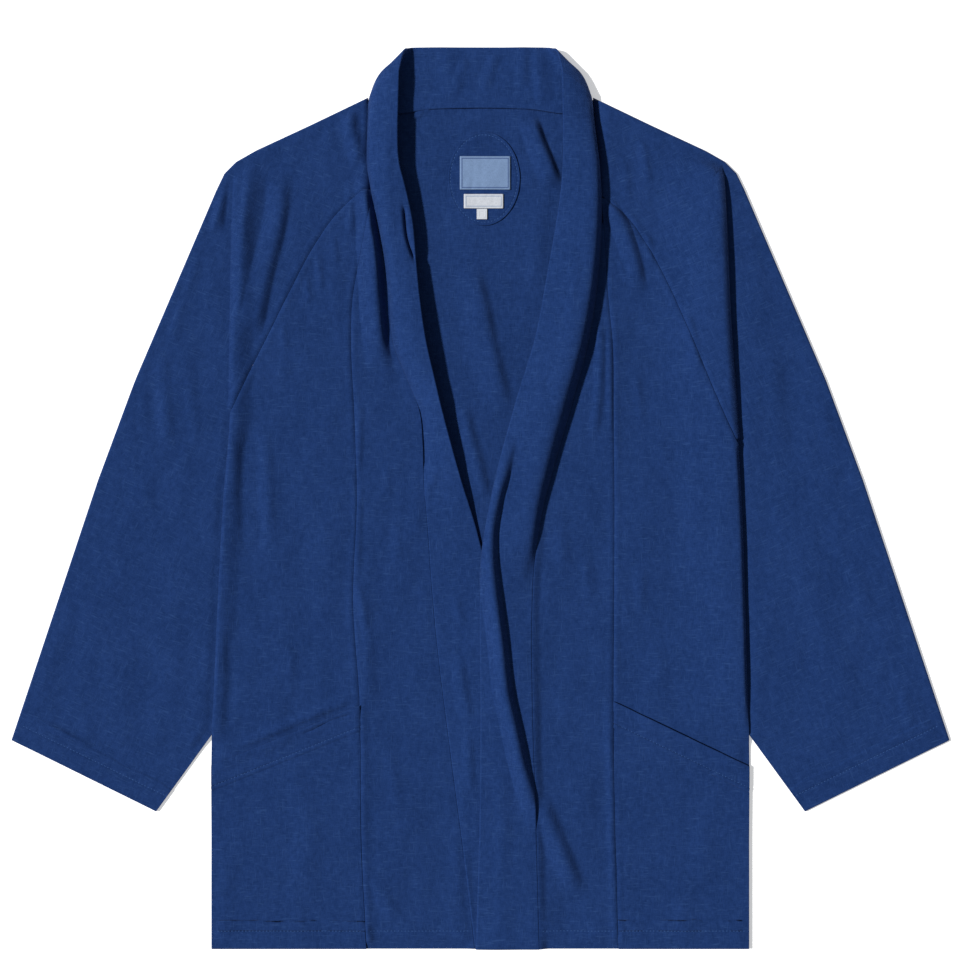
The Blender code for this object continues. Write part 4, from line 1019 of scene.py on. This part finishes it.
def sleeve_lines(side):
    """Front seam, outer fold and back seam points of each ruling, with whether it is tucked or closed."""
    table = np.array(RULINGS, float)[::-1]
    crossing = CROSSING_Y[side]
    on, under, below = (crossing + mark for mark in SLEEVE_MARKS)
    seam_levels = list(levels(RAGLAN_TOP_Y[side], on, FINE * 0.8))
    hidden = list(levels(below, UNDERARM_Y + 1.0, FINE * 1.2))
    rows = []
    for y in seam_levels + [under] + hidden:
        back_y, out_x, out_y = (np.interp(y, table[:, 0], table[:, k]) for k in (1, 2, 3))
        if y == seam_levels[0]:
            back_y, out_x, out_y = RULINGS[0][1:]
        seam_x = float(raglan[side](y)) + SEAM_GAP / 4
        if y == seam_levels[0]:
            seam_x = float(band_seam[side](y)) + 1.5 * SEAM_GAP
        if y < crossing:
            seam_x = float(body_edge[side](y)) - TUCK * float(smooth((y - UNDERARM_Y) / TUCK_FADE))
        rows.append(((seam_x, y), (out_x, out_y), (float(back_raglan(back_y)) + SEAM_GAP / 2, back_y),
                     y < on - 0.1, False))
    arm = np.array([float(body_edge[side](UNDERARM_Y)) + 2 * SEAM_GAP, UNDERARM_Y - 0.6])
    for share in ARM_SHARES:
        inner = arm + (np.array(CUFF_INNER) - arm) * share
        outer = np.array(RULINGS[-1][2:]) + (np.array(CUFF_OUTER) - RULINGS[-1][2:]) * share
        rows.append((tuple(inner), tuple(outer), tuple(inner), False, True))
    return rows


def sleeve_grid(side):
    """Middle points and outward normals of a sleeve, a row for each ruling."""
    rows = sleeve_lines(side)
    inner, outer, back = (np.array([r[k] for r in rows], float) for k in range(3))
    tucked = np.array([r[3] for r in rows])[:, None]
    closed = np.array([r[4] for r in rows])
    run = outer - inner
    length = np.hypot(run[:, 0], run[:, 1])
    along = run / length[:, None]
    radius = (FRONT_Z - FLOOR_Z) / 2
    end = length - radius - CLOTH / 2
    steps = np.linspace(0, 1, 600)[None, :] * length[:, None]
    xs = inner[:, :1] + along[:, :1] * steps
    ys = inner[:, 1:] + along[:, 1:] * steps
    past = xs - body_edge[side](ys) > 0
    edge = np.where(past.any(1), steps[np.arange(len(rows)), past.argmax(1)], end)
    edge = np.where(closed, 0.0, edge)
    places = dense(end, [np.zeros(len(rows)), edge], TOP_COLUMNS)
    x = side * (inner[:, :1] + along[:, :1] * places)
    y = inner[:, 1:] + along[:, 1:] * places
    cuff = np.array(CUFF_OUTER) - CUFF_INNER
    cuff_away = np.array([-cuff[1], cuff[0]]) / np.hypot(*cuff)

    def height(a, b):
        z = sleeve_height(side, a, b, tucked)
        up = (side * a - CUFF_INNER[0]) * cuff_away[0] + (b - CUFF_INNER[1]) * cuff_away[1]
        z = z + hem_form(up, side * a + b) * closed[:, None]
        gone = (side * a - inner[:, :1]) * along[:, :1] + (b - inner[:, 1:]) * along[:, 1:]
        left = length[:, None] - gone
        return FRONT_Z + (z - FRONT_Z) * smooth((left - radius - CLOTH / 2) / CUFF_FOLD_DIP)

    middle = [np.stack([x, y, height(x, y)], -1)]
    normal = [normals_of(height, x, y)]
    axis = np.column_stack([side * (inner[:, 0] + along[:, 0] * end), inner[:, 1] + along[:, 1] * end,
                            np.full(len(rows), (FRONT_Z + FLOOR_Z) / 2)])
    for angle in FOLD_ANGLES:
        s, c = math.sin(math.radians(angle)), math.cos(math.radians(angle))
        n = np.column_stack([side * along[:, 0] * s, along[:, 1] * s, np.full(len(rows), c)])
        middle.append((axis + n * radius)[:, None])
        normal.append(n[:, None])
    shares = np.linspace(0, 1, FLOOR_COLUMNS + 1)[None, :, None]
    start = axis.copy()
    start[:, 2] = FLOOR_Z
    goal = np.column_stack([side * back[:, 0], back[:, 1], np.full(len(rows), FLOOR_Z)])
    middle.append(start[:, None] + (goal - start)[:, None] * shares)
    normal.append(np.tile([0.0, 0.0, -1.0], (len(rows), FLOOR_COLUMNS + 1, 1)))
    inward = np.column_stack([side * along[:, 0], along[:, 1], np.zeros(len(rows))])
    return np.hstack(middle), np.hstack(normal), closed, inward


print("rulings of one sleeve:", len(sleeve_lines(LEFT)))

# %% [markdown]
# The two skins of the sleeve join along the open seams, round the cuff and at the neck. Where the tube
# closes, the outer skin and the inner skin each join up with themselves instead.

# %% Sleeves
def sleeve_piece(side):
    """The sleeve's mesh, with the middle of its cloth and the points of its outer skin."""
    middle, normals, closed, inward = sleeve_grid(side)
    rows, columns = middle.shape[:2]
    outside = middle + normals * CLOTH / 2
    inside = middle - normals * CLOTH / 2
    step_in = np.where(closed[:, None], inward * CLOTH, 0.0)
    inside[:, 0] += step_in
    inside[:, -1] += step_in
    half = rows * columns
    index = np.arange(2 * half).reshape(2, rows, columns)
    out, ins = index
    faces = []

    def quads(a, b, c, d):
        faces.append(np.stack([np.ravel(v) for v in (a, b, c, d)], -1))

    quads(out[:-1, :-1], out[:-1, 1:], out[1:, 1:], out[1:, :-1])
    quads(ins[:-1, :-1], ins[1:, :-1], ins[1:, 1:], ins[:-1, 1:])
    shut = np.flatnonzero(closed[:-1])
    free = np.flatnonzero(~closed[:-1])
    quads(out[shut, -1], out[shut, 0], out[shut + 1, 0], out[shut + 1, -1])
    quads(ins[shut, -1], ins[shut + 1, -1], ins[shut + 1, 0], ins[shut, 0])
    quads(out[free, 0], out[free + 1, 0], ins[free + 1, 0], ins[free, 0])
    quads(out[free, -1], ins[free, -1], ins[free + 1, -1], out[free + 1, -1])
    first = shut[0]
    quads(out[first, :1], out[first, -1:], ins[first, -1:], ins[first, :1])
    quads(out[0, :-1], ins[0, :-1], ins[0, 1:], out[0, 1:])
    quads(out[-1, :-1], out[-1, 1:], ins[-1, 1:], ins[-1, :-1])
    quads(out[-1, -1:], out[-1, :1], ins[-1, :1], ins[-1, -1:])
    faces = np.vstack(faces)
    if side == LEFT:
        faces = faces[:, ::-1]
    points = np.vstack([outside.reshape(-1, 3), inside.reshape(-1, 3)])
    return add_mesh(f"sleeve_cloth_{NAMES[side]}", points, faces, sleeve_cloth[side]), middle, outside


sleeves, sleeve_outsides = {}, {}
for side in (RIGHT, LEFT):
    sleeves[side], sleeve_middle, sleeve_outsides[side] = sleeve_piece(side)
    dress(sleeves[side], f"sleeve_{NAMES[side]}", cut_of(sleeve_middle))

# %% [markdown]
# Each front has an outer and an inner panel. Both are ruled straight across at each height between their
# seams, so their rows meet. The outer panel's edge turns down over the sleeve in a small lip.

# %% Front panels
SIDE_COLUMNS = 70
CENTRE_COLUMNS = 48


def front_side_columns(side, y, inset=0.0):
    """Distances from the centre line of the outer front panel's columns, a row for each y."""
    inner = np.maximum(panel_seam[side](y), band_seam[side](y) + SEAM_GAP / 2) + SEAM_GAP / 2 + inset
    seam = raglan[side](y) - SEAM_GAP
    edge = body_edge[side](y)
    outer = np.where(y > CROSSING_Y[side], np.minimum(seam, edge), edge) - inset
    width = outer - inner
    return inner[:, None] + dense(width, [np.zeros(len(y)), width], SIDE_COLUMNS)


def front_side_piece(side):
    crossing = CROSSING_Y[side]
    rows = np.concatenate([levels(FRONT_TOP_Y[side], crossing + 0.5, FINE), [crossing - 1.0],
                           hem_levels(crossing - 3.5)])
    x = side * front_side_columns(side, rows)
    y = np.repeat(rows[:, None], x.shape[1], 1)
    return sheet_piece(f"front_side_cloth_{NAMES[side]}", x, y, lambda a, b: side_panel_height(side, a, b),
                       turned=side == RIGHT)


def front_centre_piece(side):
    rows = hem_levels(CENTRE_TOP_Y[side])
    inner = band_seam[side](rows) + SEAM_GAP
    width = panel_seam[side](rows) - SEAM_GAP / 2 - inner
    x = side * (inner[:, None] + dense(width, [np.zeros(len(rows)), width], CENTRE_COLUMNS))
    y = np.repeat(rows[:, None], x.shape[1], 1)
    return sheet_piece(f"front_centre_cloth_{NAMES[side]}", x, y,
                       lambda a, b: centre_panel_height(side, a, b), turned=side == RIGHT)


for side in (RIGHT, LEFT):
    piece, piece_middle = front_side_piece(side)
    dress(piece, f"front_side_{NAMES[side]}", cut_of(piece_middle))
    piece, piece_middle = front_centre_piece(side)
    dress(piece, f"front_centre_{NAMES[side]}", cut_of(piece_middle))

# %% [markdown]
# A pocket is one more layer on the lower part of the outer panel, open along a slanted top edge. It is made
# from the panel's own points and moved out, so it follows every crease that lies under it. Its top edge has
# a hem, which stands a little proud.

# %% Pockets
POCKET_GAP = 0.6
POCKET_HEM = 20.0
POCKET_STITCH = 18.4
POCKET_PULL = 0.9
POCKET_ROWS = 50
POCKET_INSET = 0.1
POCKET_STEP = 2.6                  # width over which the opening's hem steps down
POCKET_BOW = 14.0


def pocket_height(side, x, y):
    """Level of the panel below, with the doubled hem of the opening and its slight bow outward."""
    below = below_opening(side, x, y)
    hem = HEM_THICK * (1 - smooth((below - POCKET_HEM) / POCKET_STEP))
    stitch = STITCH_SINK * np.exp(-((below - POCKET_STITCH) / STITCH_WIDTH) ** 2)
    bow = POCKET_PULL * np.exp(-(below / POCKET_BOW) ** 2) * np.sin(opening_share(side, x, y) * math.pi)
    return side_panel_height(side, x, y) + hem - stitch + bow


def pocket_piece(side):
    """Rows run along the opening at the top and along the hem at the bottom, so both hems are crisp."""
    at_top = front_side_columns(side, np.array([POCKET_INNER_Y[side]]))[0]
    share = (at_top - at_top[0]) / (at_top[-1] - at_top[0])
    top = POCKET_INNER_Y[side] + (POCKET_OUTER_Y[side] - POCKET_INNER_Y[side]) * share
    upper = top[None, :] + levels(0.0, -POCKET_HEM * 1.4, HEM_FINE * 0.7)[:, None]
    lower = np.repeat(levels(HEM_TOP_Y, HEM_Y, HEM_FINE)[:, None], len(top), 1)
    between = upper[-1] + (lower[0] - upper[-1]) * np.linspace(0, 1, POCKET_ROWS)[1:-1, None]
    y = np.vstack([upper, between, lower])
    x = np.stack([front_side_columns(side, y[:, j], inset=POCKET_INSET)[:, j] for j in range(len(top))], 1)
    return sheet_piece(f"pocket_cloth_{NAMES[side]}", side * x, y, lambda a, b: pocket_height(side, a, b),
                       turned=side == RIGHT, lift=CLOTH + POCKET_GAP)


for side in (RIGHT, LEFT):
    piece, piece_middle = pocket_piece(side)
    dress(piece, f"pocket_{NAMES[side]}", cut_of(piece_middle))

# %% [markdown]
# The band is swept along its three guide lines: seam, roll and free edge. Down the fronts they come from the
# section tables, and round the neck from their own rows, where the band lies flat behind the neck and rolls
# over at each side. It is doubled cloth, so its free edge is a soft fold.

# %% Collar band
BAND_SHARES = np.linspace(0, 1, 41)
NECK_STEPS = 16
NECK_LAP = (2.2, 1.4)              # the band laps over the top of the back by so much, and lies higher
BAND_TOP_ROW = 358.0
BAND_SEAM_SHARE = 0.15             # share of the band's width, from its seam, where the ripples fade in
BAND_UNREST = (0.35, 0.7)


def band_tracks():
    """Seam, roll and free edge of the band from the right hem round the neck to the left hem."""
    def front(side):
        y = levels(BAND_TOP_ROW, HEM_Y, FINE * 1.2)
        seam_x, roll_x, free_x, seam_z, roll_z, free_z = (line(BAND_ROWS[side], k)(y) for k in range(1, 7))
        tracks = [(seam_x, seam_z), (roll_x, roll_z), (free_x, free_z)]
        return np.stack([np.column_stack([side * x, y, z]) for x, z in tracks], 1)

    def neck(side):
        return [[(side * x, y, z) for x, y, z in row] for row in BAND_NECK]

    turn = np.array(neck(RIGHT)[:0:-1] + neck(LEFT), float)
    steps = [NECK_STEPS] * (len(turn) - 1)
    turn = np.stack([spline(turn[:, k], steps) for k in range(3)], 1)
    return np.vstack([front(RIGHT)[::-1], turn, front(LEFT)])


def band_sections(tracks):
    """Points across the band: flat out of the seam, over the roll and down to the free edge."""
    seam, roll, free = tracks[:, 0], tracks[:, 1], tracks[:, 2]
    top = roll + (free - roll) * 0.5
    top[:, 2] += BAND_CROWN * np.clip((roll[:, 2] - UNDER_BAND_Z) / 8.0, 0, 1)
    flat = seam + (seam - roll) * np.array([1.0, 1.0, 0.0]) * 0.6
    p = [flat, seam, roll, top, free, 2 * free - top]
    out = []
    for share in BAND_SHARES:
        k = min(int(share * 3), 2)
        t = share * 3 - k
        out.append(curve_point(*p[k:k + 4], t))
    return np.stack(out, 1)


def band_piece():
    """The band's mesh and the middle of its cloth, from one front hem round the neck to the other."""
    grid = band_sections(band_tracks())
    # the rounded free edge takes half the band's thickness
    tangent = grid[:, -1] - grid[:, -2]
    tangent /= np.linalg.norm(tangent, axis=1, keepdims=True)
    ease = BAND_SHARES[None, :, None] ** 4
    grid = grid - tangent[:, None] * ease * BAND / 2
    x, y = grid[..., 0], grid[..., 1]
    on_left = np.arange(len(grid))[:, None] * 2 > len(grid)
    folds = np.where(on_left & (y < CENTRE_TOP_Y[LEFT]), crease_height(CREASES[LEFT], x, y), 0)
    own_folds = {side: crease_height(BAND_CREASES[side], x, y) for side in (RIGHT, LEFT)}
    folds += np.where(on_left, own_folds[LEFT], own_folds[RIGHT])
    round_neck = (np.abs(x) < 85) & (y > 365)
    folds += np.where(round_neck, crease_height(NECK_CREASES, x, y), 0)
    seamed = smooth(BAND_SHARES / BAND_SEAM_SHARE)[None, :]
    grid[..., 2] += folds + np.maximum(ripple(x, y, 21) + BAND_UNREST[0], 0.0) * seamed * BAND_UNREST[1]
    behind = np.clip((90 - np.abs(x)) / 12, 0, 1) * (y > 360) * (1 - smooth(BAND_SHARES / 0.4))[None, :]
    grid[..., 2] += NECK_LAP[1] * behind
    grid[..., 1] -= NECK_LAP[0] * behind
    down = np.gradient(grid, axis=0)
    across = np.gradient(grid, axis=1)
    normals = np.cross(across, down)
    normals[:, 0] = np.array([0.0, 0.0, 1.0]) * np.sign(normals[:, 0, 2:])
    normals /= np.linalg.norm(normals, axis=-1, keepdims=True)
    middle, normals = grid[:, ::-1], normals[:, ::-1]
    points, faces = wall_mesh(middle, normals, BAND)
    return add_mesh("collar_cloth", points, faces, band_cloth), middle


collar, collar_middle = band_piece()
dress(collar, "collar", cut_of(collar_middle))

# %% [markdown]
# Inside the back neck an oval patch carries three woven labels. They are bare: only a woven border and the
# ribs of the ribbon are made. Each is drawn from the back's own surface and moved out.

# %% Patch and labels
PATCH_CENTRE = (3.3, 302.6)
PATCH_HALF = (34.2, 44.6)
PATCH_STITCH = 2.4
PATCH_GROOVE = 0.28
PATCH_GROOVE_WIDTH = 0.9
PATCH_PUCKER = (0.12, 17, 0.08)    # height, number round the oval, and reach as a share of its half
TRIM = 1.0
LABELS = [
    # node, centre x, centre y, width, height
    ("label_main", 4.3, 307.8, 47.5, 31.4),
    ("label_small", 2.9, 281.0, 37.0, 13.3),
    ("size_tab", 1.4, 268.8, 9.5, 9.6),
]
print("labels:", [row[0] for row in LABELS])


def trim_middle(x, y, layer):
    """Middle of a patch or label that lies so many layers above the back."""
    z = back_height(x, y) + CLOTH / 2 + REST_GAP + layer * (TRIM + REST_GAP) + TRIM / 2
    return np.stack([x, y, z], -1)


RIBBON_LINE = ((2.6, 2.3), (1.5, 1.8))     # the border's inner and outer side, from the label's edge


def ribbon_material(name, ground, border, width, height):
    """Woven ribbon: fine ribs across it, and a border of another thread measured from the label's box."""
    material = bpy.data.materials.new(name)
    material.use_nodes = True
    tree = material.node_tree
    shader = tree.nodes["Principled BSDF"]
    shader.inputs["Roughness"].default_value = 0.75
    shader.inputs["Specular IOR Level"].default_value = 0.3
    place = add_node(tree, "ShaderNodeTexCoord")
    parts = add_node(tree, "ShaderNodeSeparateXYZ")
    tree.links.new(place.outputs["Generated"], parts.inputs[0])
    masks = []
    for axis, size in (("X", width), ("Y", height)):
        from_middle = math_node(tree, "ABSOLUTE", math_node(tree, "SUBTRACT", parts.outputs[axis], 0.5), 0.0)
        for begins, full in RIBBON_LINE:
            place_mm = math_node(tree, "MULTIPLY", from_middle, size)
            masks.append(ramp(tree, place_mm, size / 2 - begins, size / 2 - full))
    outer_mask = math_node(tree, "MAXIMUM", masks[0], masks[2])
    inner_mask = math_node(tree, "MINIMUM", masks[1], masks[3])
    line_mask = math_node(tree, "MULTIPLY", outer_mask, inner_mask)
    vector = place.outputs["Object"]
    ribs = scaled_noise(tree, vector, (300.0, 2600.0, 300.0))
    grain = scaled_noise(tree, vector, (1800.0, 500.0, 500.0))
    threads = ramp(tree, math_node(tree, "ADD", ribs, grain), 0.6, 1.4)
    colours = []
    for colour in (ground, border):
        node = add_node(tree, "ShaderNodeMix", data_type="RGBA")
        node.inputs["A"].default_value = [c * 0.84 for c in colour] + [1.0]
        node.inputs["B"].default_value = [min(c * 1.12, 1.0) for c in colour] + [1.0]
        tree.links.new(threads, node.inputs["Factor"])
        colours.append(node.outputs["Result"])
    tree.links.new(mix_colour(tree, line_mask, *colours), shader.inputs["Base Color"])
    bump = add_node(tree, "ShaderNodeBump")
    bump.inputs["Strength"].default_value = 0.5
    bump.inputs["Distance"].default_value = 0.0002
    tree.links.new(math_node(tree, "ADD", threads, line_mask), bump.inputs["Height"])
    tree.links.new(bump.outputs["Normal"], shader.inputs["Normal"])
    return material


RIBBON_COLOURS = {
    # ground, border
    "label_main": ((0.165, 0.252, 0.420), (0.045, 0.085, 0.220)),
    "label_small": ((0.56, 0.585, 0.635), (0.33, 0.39, 0.50)),
    "size_tab": ((0.60, 0.625, 0.67), (0.60, 0.625, 0.67)),
}


def patch_piece():
    """The oval as rings about its centre, pulled down a little at its stitched rim."""
    rings = np.concatenate([np.linspace(1.0, 0.86, 15), np.linspace(0.8, 0.04, 10)])
    turns = np.linspace(0, 2 * math.pi, 97)[:-1]
    x = PATCH_CENTRE[0] + PATCH_HALF[0] * rings[:, None] * np.cos(turns)[None, :]
    y = PATCH_CENTRE[1] + PATCH_HALF[1] * rings[:, None] * np.sin(turns)[None, :]
    middle = trim_middle(x, y, 0)
    pucker, number, reach = PATCH_PUCKER
    middle[..., 2] += pucker * np.sin(turns * number)[None, :] * np.exp(-((1 - rings) / reach)[:, None])
    from_edge = (1 - rings) * PATCH_HALF[0]
    groove = np.exp(-((from_edge - PATCH_STITCH) / PATCH_GROOVE_WIDTH) ** 2)
    middle[..., 2] -= PATCH_GROOVE * groove[:, None]
    top = middle + np.array([0, 0, TRIM / 2])
    low = middle - np.array([0, 0, TRIM / 2])
    top[0, :, 2] -= TRIM * 0.25
    count, rows = len(turns), len(rings)
    grid = np.arange(rows * count).reshape(rows, count)
    nxt = np.roll(grid, -1, axis=1)
    upper = np.stack([grid[:-1], nxt[:-1], nxt[1:], grid[1:]], -1).reshape(-1, 4)
    lower = upper[:, ::-1] + rows * count
    rim = np.stack([grid[0], grid[0] + rows * count, nxt[0] + rows * count, nxt[0]], -1)
    faces = [list(f) for f in np.vstack([upper, lower, rim])]
    faces.append([int(v) for v in grid[-1]])
    faces.append([int(v) + rows * count for v in grid[-1][::-1]])
    points = np.vstack([top.reshape(-1, 3), low.reshape(-1, 3)])
    return add_mesh("neck_patch_cloth", points, faces, body_cloth)


def label_piece(node, cx, cy, width, height):
    columns, rows = 41, 27
    x, y = np.meshgrid(cx + width * np.linspace(-0.5, 0.5, columns),
                       cy + height * np.linspace(0.5, -0.5, rows))
    middle = trim_middle(x, y, 1)
    corner = np.abs((x - cx) / width * 2) ** 6 + np.abs((y - cy) / height * 2) ** 6
    middle[..., 2] += 0.1 * corner + 0.25 * np.abs(ripple(x * 4, y * 4, 5))
    normals = np.zeros_like(middle)
    normals[..., 2] = 1
    points, faces = wall_mesh(middle, normals, TRIM)
    material = ribbon_material(f"ribbon_{node}", *RIBBON_COLOURS[node], width, height)
    return add_mesh(f"{node}_ribbon", points, faces, material), middle


labels = {row[0]: label_piece(*row) for row in LABELS}
tab = labels["size_tab"][0]
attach(tab, "root")
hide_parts("size_tab")
patch = patch_piece()
patch_half_m = [half * MM for half in PATCH_HALF]
patch_cut = (2 * patch_half_m[0], 2 * patch_half_m[1], math.pi * patch_half_m[0] * patch_half_m[1])
dress(patch, "neck_patch", patch_cut)
for node, slot in (("label_main", "label_blue"), ("label_small", "label_white")):
    piece, piece_middle = labels[node]
    dress(piece, node, cut_of(piece_middle))

# %% [markdown]
# The sewing that shows is real geometry too: each stitch is a small spindle of thread that dips into the
# cloth at both ends. One function lays a row of them along any path on the cloth, and the rows of one kind
# become one joined mesh. The thread is dyed like the cloth, a little lighter.

# %% Sewing thread
STITCH_LENGTH = 2.5
STITCH_PITCH = 3.3
THREAD_RADIUS = 0.3
THREAD_SIDES = 6
STITCH_STATIONS = np.array([0.0, 0.22, 0.78, 1.0])
PATH_POINTS = 200
SEAM_MARGIN = 2.0                  # a stitch line ends this far from a seam, and a little more from an edge
EDGE_MARGIN = 3.0
POCKET_MARGIN = 0.02               # share of the opening's width that has no stitch at either end


def thread_material():
    material = bpy.data.materials.new("indigo_thread")
    material.use_nodes = True
    tree = material.node_tree
    shader = tree.nodes["Principled BSDF"]
    shader.inputs["Roughness"].default_value = 0.8
    shader.inputs["Specular IOR Level"].default_value = 0.2
    place = add_node(tree, "ShaderNodeTexCoord")
    twist = scaled_noise(tree, place.outputs["Object"], (900.0, 2400.0, 900.0))
    colours = add_node(tree, "ShaderNodeMix", data_type="RGBA")
    colours.inputs["A"].default_value = (0.024, 0.070, 0.210, 1.0)
    colours.inputs["B"].default_value = (0.044, 0.110, 0.290, 1.0)
    tree.links.new(ramp(tree, twist, 0.35, 0.65), colours.inputs["Factor"])
    tree.links.new(colours.outputs["Result"], shader.inputs["Base Color"])
    return material


def stitch_row(name, paths, material):
    """A joined mesh of stitches along paths of points that lie on the cloth."""
    points, faces = [], []
    turns = 2 * math.pi * np.arange(THREAD_SIDES) / THREAD_SIDES
    for path in paths:
        run = np.concatenate([[0], np.cumsum(np.linalg.norm(np.diff(path, axis=0), axis=1))])
        for start in np.arange(STITCH_PITCH / 2, run[-1] - STITCH_LENGTH, STITCH_PITCH):
            stations = start + STITCH_LENGTH * STITCH_STATIONS
            centre = np.column_stack([np.interp(stations, run, path[:, k]) for k in range(3)])
            centre[[0, -1], 2] -= THREAD_RADIUS
            along = centre[2] - centre[1]
            across = np.array([-along[1], along[0], 0.0]) / math.hypot(along[0], along[1])
            ring = np.outer(np.cos(turns), across) + np.outer(np.sin(turns), [0, 0, 1])
            base = len(points)
            near, far = (centre[k] + ring * THREAD_RADIUS for k in (1, 2))
            points += [centre[0], *near, *far, centre[3]]
            for k in range(THREAD_SIDES):
                a, b = base + 1 + k, base + 1 + (k + 1) % THREAD_SIDES
                faces.append([base, b, a])
                faces.append([a, b, b + THREAD_SIDES, a + THREAD_SIDES])
                faces.append([a + THREAD_SIDES, b + THREAD_SIDES, base + 1 + 2 * THREAD_SIDES])
    piece = add_mesh(name, np.array(points), faces, material)
    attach(piece, "root")
    print(f"{name}: {len(faces) // (3 * THREAD_SIDES)} stitches")


def on_cloth(x, y, height, lift=0.0):
    """A path on the upper face of a layer of cloth."""
    return np.column_stack([x, y, height(x, y) + CLOTH / 2 + lift])


def hem_paths(side):
    """The hem's stitch line over the inner panel and over the pocket."""
    y = np.full(PATH_POINTS, HEM_Y + HEM_LINES[0])
    seam, band, edge = (float(curve[side](y[0])) for curve in (panel_seam, band_seam, body_edge))
    inner = side * np.linspace(band + SEAM_MARGIN, seam - SEAM_MARGIN, len(y))
    outer = side * np.linspace(seam + SEAM_MARGIN, edge - EDGE_MARGIN, len(y))
    return [on_cloth(inner, y, lambda a, b: centre_panel_height(side, a, b)),
            on_cloth(outer, y, lambda a, b: pocket_height(side, a, b), CLOTH + POCKET_GAP)]


def pocket_path(side):
    """The stitch line of the pocket's opening, parallel to its edge."""
    share = np.linspace(POCKET_MARGIN, 1 - POCKET_MARGIN, PATH_POINTS)
    slant = math.atan2(POCKET_INNER_Y[side] - POCKET_OUTER_Y[side], POCKET_WIDTH)
    y = POCKET_INNER_Y[side] + (POCKET_OUTER_Y[side] - POCKET_INNER_Y[side]) * share
    y = y - POCKET_STITCH / math.cos(slant)
    seam = panel_seam[side](y)
    x = side * (seam + (body_edge[side](y) - seam) * share)
    return on_cloth(x, y, lambda a, b: pocket_height(side, a, b), CLOTH + POCKET_GAP)


def cuff_path(side):
    """The cuff's stitch line on the upper layer: the ruling that lies a hem's width from the edge."""
    outside = sleeve_outsides[side]
    cuff = outside[-1, TOP_COLUMNS // 2]
    away = np.linalg.norm(outside[:, TOP_COLUMNS // 2] - cuff, axis=1)
    row = int(np.argmin(np.abs(away - HEM_LINES[0])))
    return outside[row, 1:TOP_COLUMNS]


def patch_path():
    """The stitch line round the patch, in its sewn groove."""
    turns = np.linspace(0, 2 * math.pi, 240)
    half = np.array(PATCH_HALF) * (1 - PATCH_STITCH / PATCH_HALF[0])
    plan = np.array(PATCH_CENTRE) + half * np.column_stack([np.cos(turns), np.sin(turns)])
    path = trim_middle(plan[:, 0], plan[:, 1], 0)
    path[:, 2] += TRIM / 2 - PATCH_GROOVE
    return path


thread = thread_material()
stitch_row("hem_stitches", hem_paths(RIGHT) + hem_paths(LEFT), thread)
stitch_row("pocket_stitches", [pocket_path(RIGHT), pocket_path(LEFT)], thread)
stitch_row("cuff_stitches", [cuff_path(RIGHT), cuff_path(LEFT)], thread)
stitch_row("patch_stitches", [patch_path()], thread)
